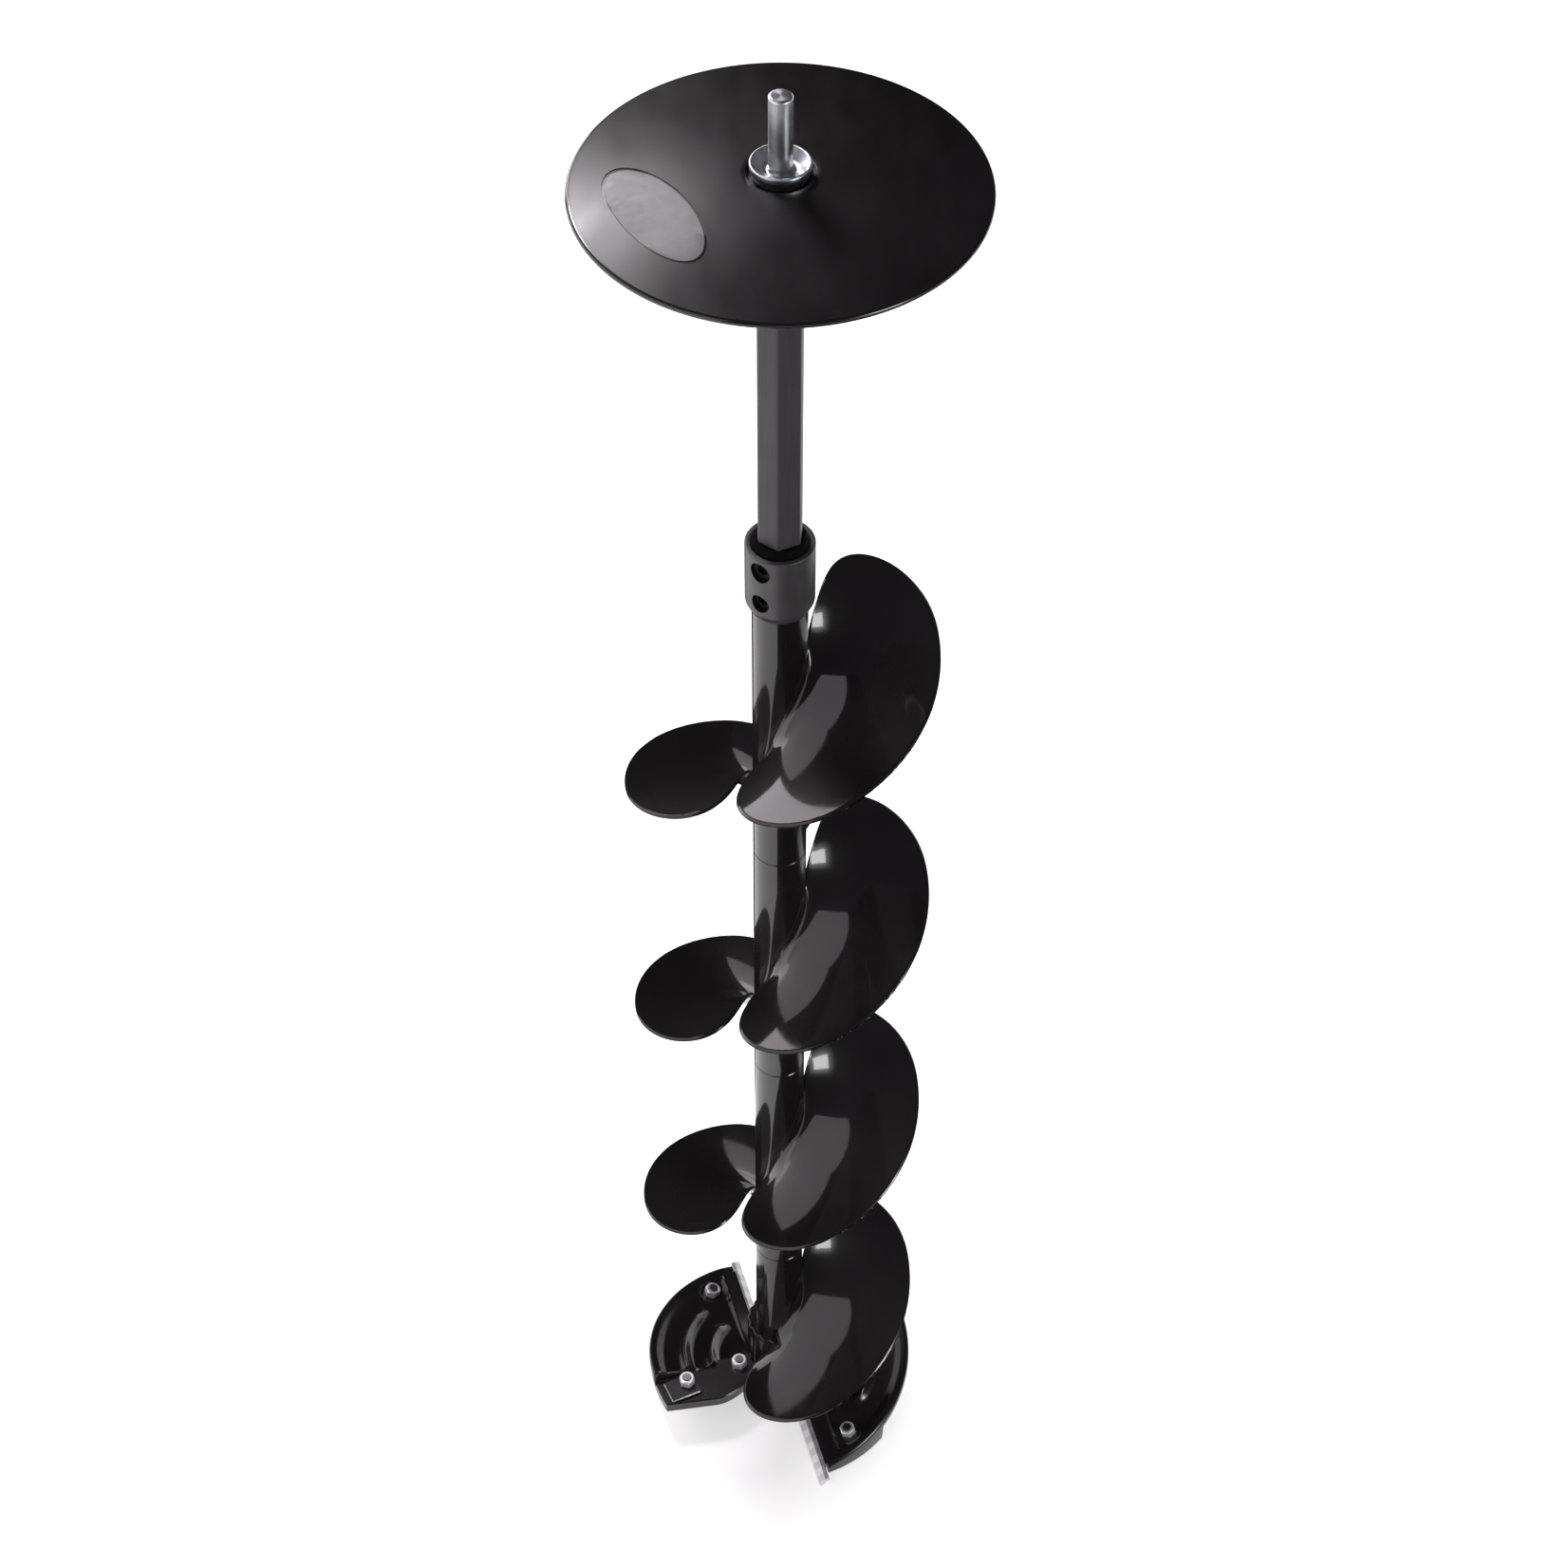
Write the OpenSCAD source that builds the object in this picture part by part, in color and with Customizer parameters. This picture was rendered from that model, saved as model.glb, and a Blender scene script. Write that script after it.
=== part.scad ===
// Drill-driven ice fishing auger: moulded screw flights stacked on a hexagonal core shaft,
// a two-blade cutting head below, and a hexagonal drive shaft with a stop disc and a chuck shank above.
// Millimetres, +Z up. The origin is on the axis, in the plane of the cutting edges.
// Angles are counter-clockwise from +X seen from above. The screw is right-handed.

/* [Chuck adapter] */
// Diameter of the round shank that the drill chuck grips
shank_d = 12.7; // [8:0.1:16]
// Length of the shank above the flange floor
shank_len = 45.5; // [30:0.5:80]
// Bevel at the top of the shank
shank_bevel = 1; // [0.4:0.1:2]
// Diameter of the dished flange that holds the disc down
flange_d = 32.2; // [28:0.2:34]
// Thickness of the flange at the shank
flange_t = 3; // [2:0.5:6]
// Height of the flange's raised rim above its floor
flange_lip = 3.5; // [1:0.5:6]
// Diameter of the journal that the disc turns on
journal_d = 20; // [16:0.5:24]
// Length of the journal between the washer and the flange
journal_len = 7.5; // [6:0.5:12]
// Diameter of the threaded stem below the journal
stem_d = 12.7; // [10:0.1:13]
// Length of the threaded stem
stem_len = 28; // [20:1:40]

/* [Stop disc] */
// Outside diameter of the disc
disc_d = 217.4; // [160:0.2:260]
// Thickness of the disc's web
disc_t = 4; // [3:0.5:6]
// Height of the disc's centre above its rim
disc_rise = 9.9; // [4:0.1:20]
// Diameter of the bead round the rim
rim_bead_d = 6; // [5:0.5:9]
// Diameter of the boss under the disc
disc_boss_d = 44; // [38:1:60]
// Diameter of the recess round the flange
disc_recess_d = 35; // [34.4:0.2:37]
// Depth of the recess round the flange
disc_recess_depth = 2.8; // [1:0.2:4]
// Length of the oval field
oval_len = 87; // [40:1:90]
// Width of the oval field
oval_w = 36; // [20:1:44]
// Depth of the oval field
oval_depth = 0.3; // [0.2:0.1:1]
// Distance of the oval field from the axis
oval_radius = 69; // [55:1:75]
// Bearing of the oval field
oval_bearing = 204; // [0:1:359]
// Turn of the oval field's length out of the tangent
oval_turn = 6.5; // [-15:0.5:15]
// Outside diameter of the washer under the disc
washer_d = 36; // [30:1:42]
// Thickness of that washer
washer_t = 2; // [1.5:0.5:4]

/* [Shafts] */
// Width across flats of both hexagonal shafts
hex_af = 24; // [22:0.2:24]
// Bearing of a corner of the hexagon
hex_bearing = 24.8; // [0:0.2:59.8]
// Bore of both hexagonal tubes
tube_bore = 17.5; // [14.5:0.5:18]
// Length of the drive shaft
drive_len = 262; // [150:1:400]
// Length of the core shaft inside the coupler
core_reach = 25.2; // [22:0.2:26]
// Gap between the two shafts inside the coupler
shaft_gap = 0.5; // [0.3:0.1:2]
// Length of the threaded plug in the drive shaft
top_plug_len = 40; // [32:1:60]
// Length of the threaded plug in the core shaft
core_plug_len = 30; // [20:1:50]
// Diameter of the pin through the drive shaft and the stem
lock_pin_d = 5; // [3:0.5:6]

/* [Coupler] */
// Outside diameter of the coupler
coupler_d = 40; // [36:0.5:46]
// Length of the coupler
coupler_len = 47.7; // [46:0.1:60]
// Bevel at the foot of the coupler, across
coupler_bevel = 2.6; // [1:0.2:3]
// Bevel at the foot of the coupler, along
coupler_bevel_h = 5.5; // [2:0.5:8]
// Height of the upper screw hole above the coupler's foot
upper_screw_h = 38.2; // [34:0.2:38.6]
// Height of the lower screw hole above the coupler's foot
lower_screw_h = 14.7; // [10:0.1:18]
// Diameter of the upper set screw
upper_screw_d = 13; // [8:0.5:13.5]
// Diameter of the lower set screw
lower_screw_d = 11.5; // [8:0.5:13]
// Length of both set screws
set_screw_len = 4.6; // [3:0.2:6]
// Across flats of the set screws' sockets
set_key = 6; // [4:0.5:6]
// Diameter of the dust seal's seat
seal_d = 34; // [31:0.5:35]
// Depth of the dust seal's seat
seal_seat = 2; // [1:0.5:2]
// Height of the dust seal above the coupler
seal_h = 5; // [2:0.5:8]

/* [Flights] */
// Outside diameter of the flights
flight_d = 185; // [120:1:200]
// Diameter of the moulded hubs
hub_d = 32.4; // [31:0.2:38]
// Length of one flight, which is also the pitch of the screw
flight_len = 205.2; // [170:0.2:240]
// Height of a fin above the foot of its flight, at bearing 0
fin_height = 164.7; // [150:0.1:170]
// Thickness of a fin at the hub
fin_root_t = 5; // [3:0.2:6]
// Thickness of a fin at its edge
fin_edge_t = 2.6; // [2:0.1:4]
// Bevel at both ends of a hub
hub_bevel = 0.5; // [0.2:0.1:1]

/* [Cutting head] */
// Height of the top of the head
head_len = 160.7; // [150:0.1:180]
// Diameter of the boss at the head's middle
boss_d = 44.8; // [42:0.2:47]
// Height of the top of the boss
boss_top = 69; // [60:1:80]
// Height of the underside of the boss
boss_bottom = 10; // [9:0.5:12]
// Thickness of the floor under the core shaft
socket_floor = 10; // [6:0.5:14]
// Depth of the counterbore for the head bolt
bolt_well = 16; // [14:0.5:20]
// Outside radius of the wings
wing_r = 94; // [92:0.5:96]
// Thickness of the wing ramps
ramp_t = 6; // [5:0.5:6]
// Angle swept by a ramp from the blade line
ramp_sweep = 93; // [80:1:100]
// Height of a ramp at the blade line
ramp_lead_h = 9; // [8.5:0.1:10]
// Height of the tail pad's top
pad_top = 29; // [27:0.5:32]
// Thickness of the tail pad
pad_t = 9; // [7:0.5:9]
// Height of the ramp above the pad at the rim
riser_h = 10; // [5:0.5:12]
// Height of the ramp above the pad at the boss
riser_root_h = 1; // [0.5:0.5:3]
// Width of the skirt along the wing's rim
skirt_w = 3.5; // [2.5:0.1:4]
// Height of the skirt's lower edge
skirt_bottom = 2.5; // [1:0.5:5]
// Angle at which the skirt ends
skirt_sweep = 37; // [30:1:45]

// Radius of the inner rib on a ramp
rib_inner_r = 49; // [44:1:54]
// Radius of the outer rib on a ramp
rib_outer_r = 68; // [62:1:74]
// Height of the ribs
rib_h = 3; // [1:0.5:4]
// Half the width of a rib at its foot
rib_half_w = 3; // [2:0.5:4]
// Angle at which the ribs start
rib_start = 38; // [30:1:50]
// Angle over which the ribs rise
rib_rise = 10; // [6:1:16]

/* [Blades] */
// Diameter of the hole that the blades cut
cut_d = 203; // [196:0.5:208]
// Bearing of the rear blade's edge
blade_bearing = 106; // [0:1:359]
// Distance of the cutting edge behind the axis
edge_back = 2; // [0:0.5:4]
// Tilt of the blades
blade_tilt = 12; // [10:0.5:14]
// Thickness of the blades
blade_t = 3; // [2:0.2:4]
// Width of the blades from edge to back
blade_w = 41; // [38:0.5:42]
// Width of the ground bevel on the edge
grind_w = 5; // [3:0.5:7]
// Flat left under the ground bevel
edge_land = 0.3; // [0.2:0.1:0.6]
// Width of the strip that stands in front of the wing
strip_w = 7.7; // [6:0.1:9]
// Distance of the blades' inner end from the axis
blade_inner = 14; // [10:1:24]
// Distance of the blade bolt along the blade
outer_bolt = 71; // [66:1:74]
// Distance of the blade screw along the blade
inner_bolt = 40; // [36:1:46]
// Distance of the blade bolt and the blade screw behind the edge
bolt_back = 31.5; // [28:0.5:33]
// Thickness of the wing under the blade nuts
nut_seat = 3.5; // [3:0.5:3.5]
// Thickness of the seat that carries a blade under the ramp
seat_t = 4; // [3.5:0.1:4]
// Length of the pocket in front of a blade nut
nut_pocket = 11; // [6:1:14]
// Depth of a blade screw in the wing
screw_depth = 6; // [5:0.5:6.5]

/* [Fasteners] */
// Diameter of the blade and tail bolts
bolt_d = 6; // [5:0.5:6]
// Across flats of their nuts
nut_af = 10; // [8.5:0.5:11]
// Height of their nuts
nut_h = 6; // [4:0.5:8]
// Diameter of the blade bolts' countersunk heads
csk_d = 12; // [10:0.5:13]
// Length of thread past a nut
thread_end = 1; // [0.5:0.5:2]
// Across flats of the tail bolts' heads
tail_head_af = 10; // [9:0.5:12]
// Height of the tail bolts' heads
tail_head_h = 4; // [3:0.5:5]
// Radius of the inner tail bolt
tail_inner_r = 31.4; // [31.2:0.2:33]
// Radius of the outer tail bolt
tail_outer_r = 72.5; // [66:0.5:76]
// Angle of the tail bolts past the ramp
tail_angle = 5.6; // [5.4:0.1:7]
// Width of the heel strap under the tail
strap_w = 17; // [13:0.5:17]
// Thickness of the heel strap
strap_t = 3; // [2:0.5:4]
// Side of the square plate under the outer tail nut
plate_w = 22; // [16:0.5:24]
// Thickness of the square plate
plate_t = 2.5; // [1.5:0.5:4]
// Diameter of the head bolt
head_bolt_d = 12; // [10:0.5:13]
// Across flats of the head bolt
head_bolt_af = 19; // [17:0.5:20]
// Height of the head bolt's head
head_bolt_h = 7.5; // [6:0.5:9]
// Outside diameter of the head bolt's washer
head_washer_d = 28; // [24:0.5:29]
// Thickness of the head bolt's washer
head_washer_t = 3; // [2:0.5:4]

/* [Fits] */
// Side clearance between the hexagonal shafts and their sockets
hex_play = 0.1; // [0.05:0.01:0.3]
// Radial clearance of the disc on its journal
journal_play = 0.05; // [0.02:0.01:0.1]
// Axial clearance of the disc above and below
disc_play = 0.3; // [0.2:0.05:0.6]
// Radial clearance of bolts in their holes
hole_play = 0.2; // [0.1:0.05:0.4]
// Gap between a fin and the hub below its own
fin_gap = 0.5; // [0.3:0.1:1]
// Gap between the upper set screw's tip and the drive shaft
screw_play = 0.3; // [0.2:0.05:0.5]
// Gap round a blade in its seat
blade_play = 0.2; // [0.1:0.05:0.4]

/* [Hidden] */
$fn = 96;
eps = 0.01;

// Heights of the stack, from the cutting edges up
z_socket = boss_bottom + bolt_well + socket_floor;
z_lower = head_len;
z_middle = z_lower + flight_len;
z_upper = z_middle + flight_len;
z_coupler = z_upper + flight_len;
z_coupler_top = z_coupler + coupler_len;
z_core_top = z_coupler + core_reach;
z_drive = z_core_top + shaft_gap;
z_drive_top = z_drive + drive_len;
z_washer_top = z_drive_top + washer_t;
z_flange = z_washer_top + journal_len;
z_flange_floor = z_flange + flange_t;
z_shank_top = z_flange_floor + shank_len;
z_disc = z_washer_top + disc_play;
disc_hub_h = journal_len - 2 * disc_play;

// Bearing of the flat of the hexagon that the pin crosses, opposite the set screws
flat_bearing = hex_bearing + 30;

// Radii that several pieces share
hub_r = hub_d / 2;
flight_r = flight_d / 2;
hex_bore_af = hex_af + 2 * hex_play;
// Depth to which a fin's root is sunk in its hub
root_sink = 1.2;
fin_root_r = hub_r - root_sink;

// Fin outline: half-turn fin with a rounded upper lobe and a swept-back lower end
fin_mid_r = (flight_r + hub_r) / 2;
fin_half_w = (flight_r - hub_r) / 2;
fin_top_bearing = 12;
fin_top_lobe = 43;
fin_foot_bearing = -68;
fin_foot_lobe = 57;
fin_rows = 8;
fin_columns = 26;
// Bearing past which the second fin's root stands off the hub below
fin_free_bearing = -84;

// Wing layout in the frame of its own blade line
// Depth to which ramp and pad are sunk in the boss
wing_sink = 2.4;
wing_inner_r = boss_d / 2 - wing_sink;
skirt_r = wing_r - skirt_w;
// Width over which the ramp's underside steps down to the skirt
skirt_step = 0.2;
web_r = skirt_r - skirt_step;
rib_radii = [rib_inner_r, rib_outer_r];
wing_rows_r = concat(
    [wing_inner_r, (wing_inner_r + rib_inner_r) / 2],
    [for (c = rib_radii) each [c - rib_half_w, c, c + rib_half_w]],
    [(rib_outer_r + web_r) / 2, web_r, skirt_r, wing_r]
);
// Gap between the blade's strip and the ramp's front
lead_gap = 0.3;
wing_lead = edge_back + strip_w + lead_gap;
wing_columns = 14;
// Angle over which the ramp's end is solid down to the pad
riser_solid = 7;
// Distance outside the boss at which the riser starts to grow
riser_offset = 13.6;
riser_start_r = boss_d / 2 + riser_offset;
// Tail pad: inset from the wing's rim, bearing of its outer corner, and polar points of its rear edge
pad_inset = 0.5;
pad_lap = pad_t / 3;
pad_corner_angle = 105;
pad_tail = [[57.9, 120.5], [47, 124], [20, 131]];
tail_points = [[tail_inner_r, ramp_sweep + tail_angle], [tail_outer_r, ramp_sweep + tail_angle]];
strap_bottom = pad_top - pad_t - strap_t;
bolt_point = [outer_bolt, bolt_back];
screw_point = [inner_bolt, bolt_back];
nut_floor = blade_t + nut_seat;
screw_top = blade_t + screw_depth;

// Blade outline: rake of the strip's outer end, slope of the body's inner end, and gap to the skirt
strip_rake = 3;
body_slope = 12;
skirt_gap = 0.8;

// Small edges
edge_break = 0.6;
flange_taper = 2;
lip_w = 0.8;
dish_w = 3;
seal_band = 0.5;
seal_taper = 2.4;
stem_end_gap = 1;
nut_crown = 0.94;
nut_room = 2;
plate_gap = 1.4;
oval_step = 7.5;
// Share of the core plug's length that the head bolt fills
bolt_bite = 0.8;

color_black = "#1b1b1d";
color_coat = "#48474a";
color_zinc = "#b9bcc0";
color_steel = "#9a9ca0";
color_rubber = "#0e0e0f";

function polar(p) = [p[0] * cos(p[1]), p[0] * sin(p[1])];

// Closed slab between two grids of points of the same size, rows outward and columns by bearing
module slab(top, bottom) {
    n = len(top);
    m = len(top[0]);
    b = n * m;
    faces = concat(
        [for (i = [0:n - 2], j = [0:m - 2]) let (a = i * m + j) each [
            [a, a + 1, a + m + 1], [a, a + m + 1, a + m],
            [b + a, b + a + m + 1, b + a + 1], [b + a, b + a + m, b + a + m + 1]]],
        [for (j = [0:m - 2]) let (a = j, c = (n - 1) * m + j) each [
            [a, b + a, b + a + 1], [a, b + a + 1, a + 1],
            [c, c + 1, b + c + 1], [c, b + c + 1, b + c]]],
        [for (i = [0:n - 2]) let (a = i * m, c = i * m + m - 1) each [
            [a, a + m, b + a + m], [a, b + a + m, b + a],
            [c, b + c + m, c + m], [c, b + c, b + c + m]]]
    );
    polyhedron(concat([for (row = top) each row], [for (row = bottom) each row]), faces, convexity = 8);
}

function lobe(x) = sqrt(max(0, 1 - x * x));
function fin_row_r(i) = fin_mid_r - fin_half_w * cos(180 * i / fin_rows);
function fin_top_end(r) = fin_top_bearing + fin_top_lobe * lobe((r - fin_mid_r) / fin_half_w);
function fin_foot_end(r) = fin_foot_bearing - fin_foot_lobe * lobe((r - hub_r) / (flight_r - hub_r));
function fin_bearing(r, j) =
    fin_foot_end(r) + (fin_top_end(r) - fin_foot_end(r)) * j / fin_columns;
function fin_t(r) = fin_root_t + (fin_edge_t - fin_root_t) * (r - hub_r) / (flight_r - hub_r);
function fin_point(i, j, free_from, under) =
    let (
        r = fin_row_r(i),
        a = fin_bearing(r, j),
        root = a < free_from ? hub_r + fin_gap : fin_root_r,
        rr = i == 0 ? root : max(r, hub_r + fin_gap)
    )
    [rr * cos(a), rr * sin(a), flight_len * a / 360 - under * fin_t(r)];

// One half-turn fin with its upper face at height 0 at bearing 0
module fin(free_from) {
    slab(
        [for (i = [0:fin_rows]) [for (j = [0:fin_columns]) fin_point(i, j, free_from, 0)]],
        [for (i = [0:fin_rows]) [for (j = [0:fin_columns]) fin_point(i, j, free_from, 1)]]
    );
}

module hex_prism(af, h) {
    rotate([0, 0, hex_bearing]) cylinder(d = af / cos(30), h = h, $fn = 6);
}

// Hub with a bevel at each end, so that a fine groove marks every joint
module hub(h) {
    rotate_extrude()
        polygon([
            [0, 0], [hub_r - hub_bevel, 0], [hub_r, hub_bevel],
            [hub_r, h - hub_bevel], [hub_r - hub_bevel, h], [0, h]
        ]);
}

module flight(z) {
    color(color_black) translate([0, 0, z]) difference() {
        union() {
            hub(flight_len);
            translate([0, 0, fin_height]) fin(-360);
            translate([0, 0, fin_height - flight_len / 2]) rotate([0, 0, 180]) fin(fin_free_bearing);
        }
        translate([0, 0, -eps]) hex_prism(hex_bore_af, flight_len + 2 * eps);
    }
}

module upper_flight() {
    flight(z_upper);
}

module middle_flight() {
    flight(z_middle);
}

module lower_flight() {
    flight(z_lower);
}

// Frame of a blade: X outward along the edge, Y back from the edge, Z square to the blade
module blade_frame(k) {
    wing_frame(k) blade_tilted() children();
}

module blade_tilted() {
    translate([0, edge_back, 0]) rotate([blade_tilt, 0, 0]) children();
}

module wing_frame(k) {
    rotate([0, 0, blade_bearing + 180 * k]) children();
}

// Plan of a blade: a long edge strip and a shorter body behind it that stays inside the wing's skirt
module blade_plan(grow) {
    cut_r = cut_d / 2;
    body_r = skirt_r - skirt_gap;
    polygon([
        [blade_inner - grow, -grow],
        [sqrt(cut_r * cut_r - edge_back * edge_back) + grow, -grow],
        [cut_r - strip_rake + grow, strip_w],
        [sqrt(body_r * body_r - pow(strip_w + edge_back, 2)) + grow, strip_w],
        [sqrt(body_r * body_r - pow(blade_w + edge_back, 2)) + grow, blade_w + grow],
        [blade_inner + body_slope - grow, blade_w + grow]
    ]);
}

module blade(k) {
    color(color_steel) blade_frame(k) difference() {
        intersection() {
            linear_extrude(height = blade_t) blade_plan(0);
            rotate([90, 0, 90])
                linear_extrude(height = cut_d)
                polygon([[0, 0], [0, edge_land], [grind_w, blade_t], [blade_w, blade_t], [blade_w, 0]]);
        }
        for (p = [bolt_point, screw_point]) translate(p) countersunk(hole_play, blade_t + eps, -eps);
    }
}

module rear_blade() {
    blade(0);
}

module front_blade() {
    blade(1);
}

// Countersunk bolt or screw from the blade's underside up to the given height
module countersunk(play, top, bottom) {
    cone_h = (csk_d - bolt_d) / 2;
    translate([0, 0, bottom]) cylinder(d = bolt_d + 2 * play, h = top - bottom);
    cylinder(d1 = csk_d + 2 * play, d2 = bolt_d + 2 * play, h = cone_h);
}

module blade_bolts() {
    color(color_zinc)
        for (k = [0, 1])
            blade_frame(k) translate(bolt_point) countersunk(0, nut_floor + nut_h + thread_end, 0);
}

// Short screws that hold the blades' inner ends from below
module blade_screws() {
    color(color_zinc)
        for (k = [0, 1])
            blade_frame(k) translate(screw_point) countersunk(0, screw_top, 0);
}

module nut(h) {
    difference() {
        intersection() {
            cylinder(d = nut_af / cos(30), h = h, $fn = 6);
            cylinder(d1 = nut_af / cos(30) + h, d2 = nut_af * nut_crown, h = h + eps);
        }
        translate([0, 0, -eps]) cylinder(d = bolt_d + hole_play, h = h + 3 * eps);
    }
}

module blade_nuts() {
    color(color_zinc)
        for (k = [0, 1])
            blade_frame(k) translate(concat(bolt_point, nut_floor)) nut(nut_h);
}

function ramp_start(r) = asin(min(1, wing_lead / r));
function ramp_angle(r, j) = ramp_start(r) + (ramp_sweep - ramp_start(r)) * j / wing_columns;
function riser(r) =
    let (share = max(0, min(1, (r - riser_start_r) / (wing_r - riser_start_r))))
    riser_root_h + (riser_h - riser_root_h) * share;
function ramp_plain(r, a) = ramp_lead_h + (pad_top + riser(r) - ramp_lead_h) * a / ramp_sweep;
function rib(r, a) =
    let (crest = len([for (c = rib_radii) if (abs(r - c) < eps) c]))
    crest * rib_h * max(0, min(1, (a - rib_start) / rib_rise));
function ramp_top(r, a) = ramp_plain(r, a) + rib(r, a);
function ramp_bottom(r, a) =
    let (plain = ramp_plain(r, a) - ramp_t)
    r > skirt_r - skirt_step / 2 && a < skirt_sweep ? skirt_bottom :
    a > ramp_sweep - riser_solid ? min(plain, pad_top - pad_lap) : plain;
function ramp_point(r, j, under) =
    let (a = ramp_angle(r, j))
    [r * cos(a), r * sin(a), under ? ramp_bottom(r, a) : ramp_top(r, a)];

// Helical ramp of one wing, with a skirt that guards the blade's outer end
module ramp() {
    slab(
        [for (r = wing_rows_r) [for (j = [0:wing_columns]) ramp_point(r, j, false)]],
        [for (r = wing_rows_r) [for (j = [0:wing_columns]) ramp_point(r, j, true)]]
    );
}

// Flat seat that carries a blade under the ramp, inside the skirt and clear of the boss's foot
module blade_seat() {
    translate([0, 0, blade_t - eps]) linear_extrude(height = seat_t) intersection() {
        blade_plan(-blade_play);
        translate([0, strip_w + lead_gap]) square([skirt_r, blade_w]);
    }
}

// Flat pad behind the ramp that the tail bolts clamp
module pad() {
    translate([0, 0, pad_top - pad_t]) intersection() {
        cylinder(r = wing_r - pad_inset, h = pad_t);
        linear_extrude(height = pad_t)
            polygon(concat(
                [polar([wing_inner_r, ramp_sweep - riser_solid])],
                [polar([2 * wing_r, ramp_sweep - riser_solid])],
                [polar([2 * wing_r, pad_corner_angle])],
                [polar([wing_r, pad_corner_angle])],
                [for (p = pad_tail) polar(p)]
            ));
    }
}

module wing_cuts() {
    cut_h = 40;
    pocket_d = nut_af / cos(30) + nut_room;
    blade_tilted() {
        translate([0, 0, blade_t - cut_h]) linear_extrude(height = cut_h) blade_plan(blade_play);
        translate(bolt_point) cylinder(d = bolt_d + 2 * hole_play, h = cut_h);
        translate(screw_point) cylinder(d = bolt_d, h = screw_top);
        translate(concat(bolt_point, nut_floor)) {
            cylinder(d = pocket_d, h = cut_h);
            translate([-pocket_d / 2, -nut_pocket, 0]) cube([pocket_d, nut_pocket, cut_h]);
        }
    }
    for (p = tail_points)
        translate(concat(polar(p), 0)) cylinder(d = bolt_d + 2 * hole_play, h = cut_h);
    translate(concat(polar(tail_points[0]), pad_top)) cylinder(d = pocket_d, h = cut_h);
}

module cutting_head() {
    color(color_black) difference() {
        union() {
            translate([0, 0, boss_bottom]) hub(head_len - boss_bottom);
            translate([0, 0, boss_bottom]) cylinder(d = boss_d, h = boss_top - boss_bottom);
            translate([0, 0, head_len - flight_len + fin_height]) fin(-360);
            for (k = [0, 1]) wing_frame(k) {
                ramp();
                pad();
                blade_tilted() blade_seat();
            }
        }
        translate([0, 0, z_socket]) hex_prism(hex_bore_af, head_len);
        translate([0, 0, boss_bottom - eps]) {
            cylinder(d = head_bolt_d + 2 * hole_play, h = z_socket);
            cylinder(d = head_washer_d + 2 * hole_play, h = bolt_well + eps);
        }
        for (k = [0, 1]) wing_frame(k) wing_cuts();
    }
}

// Flat steel strap under a wing's tail, clamped by both tail bolts
module heel_strap(k) {
    color(color_steel) wing_frame(k) translate([0, 0, strap_bottom]) difference() {
        rotate([0, 0, ramp_sweep + tail_angle])
            translate([tail_inner_r - strap_w / 2, -strap_w / 2, 0])
            cube([tail_outer_r - tail_inner_r + strap_w, strap_w, strap_t]);
        for (p = tail_points)
            translate(concat(polar(p), -eps)) cylinder(d = bolt_d + 2 * hole_play, h = strap_t + 2 * eps);
    }
}

module rear_heel_strap() {
    heel_strap(0);
}

module front_heel_strap() {
    heel_strap(1);
}

// Square plates that spread the load of the outer tail nuts
module square_plates() {
    color(color_steel) for (k = [0, 1]) wing_frame(k)
        rotate([0, 0, ramp_sweep + tail_angle])
        translate([tail_outer_r, 0, pad_top])
        difference() {
            translate([-plate_w / 2, -tail_outer_r * sin(tail_angle) + plate_gap, 0])
                cube([plate_w, plate_w, plate_t]);
            translate([0, 0, -eps]) cylinder(d = bolt_d + 2 * hole_play, h = plate_t + 2 * eps);
        }
}

function tail_nut_z(p) = p[0] == tail_outer_r ? pad_top + plate_t : pad_top;

module tail_bolts() {
    color(color_zinc) for (k = [0, 1], p = tail_points) wing_frame(k) translate(polar(p)) {
        translate([0, 0, strap_bottom])
            cylinder(d = bolt_d, h = tail_nut_z(p) + nut_h + thread_end - strap_bottom);
        translate([0, 0, strap_bottom - tail_head_h])
            cylinder(d = tail_head_af / cos(30), h = tail_head_h, $fn = 6);
    }
}

module tail_nuts() {
    color(color_zinc) for (k = [0, 1], p = tail_points)
        wing_frame(k) translate(concat(polar(p), tail_nut_z(p))) nut(nut_h);
}

module head_washer() {
    z = boss_bottom + bolt_well - head_washer_t;
    color(color_zinc) translate([0, 0, z]) difference() {
        cylinder(d = head_washer_d, h = head_washer_t);
        translate([0, 0, -eps]) cylinder(d = head_bolt_d + 2 * hole_play, h = head_washer_t + 2 * eps);
    }
}

module head_bolt() {
    z = boss_bottom + bolt_well - head_washer_t;
    color(color_zinc) {
        translate([0, 0, z]) cylinder(d = head_bolt_d, h = z_socket - z + core_plug_len * bolt_bite);
        translate([0, 0, z - head_bolt_h])
            cylinder(d = head_bolt_af / cos(30), h = head_bolt_h, $fn = 6);
    }
}

module hex_tube(z, h) {
    translate([0, 0, z]) difference() {
        hex_prism(hex_af, h);
        translate([0, 0, -eps]) cylinder(d = tube_bore, h = h + 2 * eps);
    }
}

module core_shaft() {
    color(color_coat) hex_tube(z_socket, z_core_top - z_socket);
}

module core_plug() {
    color(color_steel) translate([0, 0, z_socket]) difference() {
        cylinder(d = tube_bore, h = core_plug_len);
        translate([0, 0, -eps]) cylinder(d = head_bolt_d, h = core_plug_len + 2 * eps);
    }
}

module drive_shaft() {
    color(color_coat) difference() {
        hex_tube(z_drive, drive_len);
        lock_pin_solid(hex_af * 2);
    }
}

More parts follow.
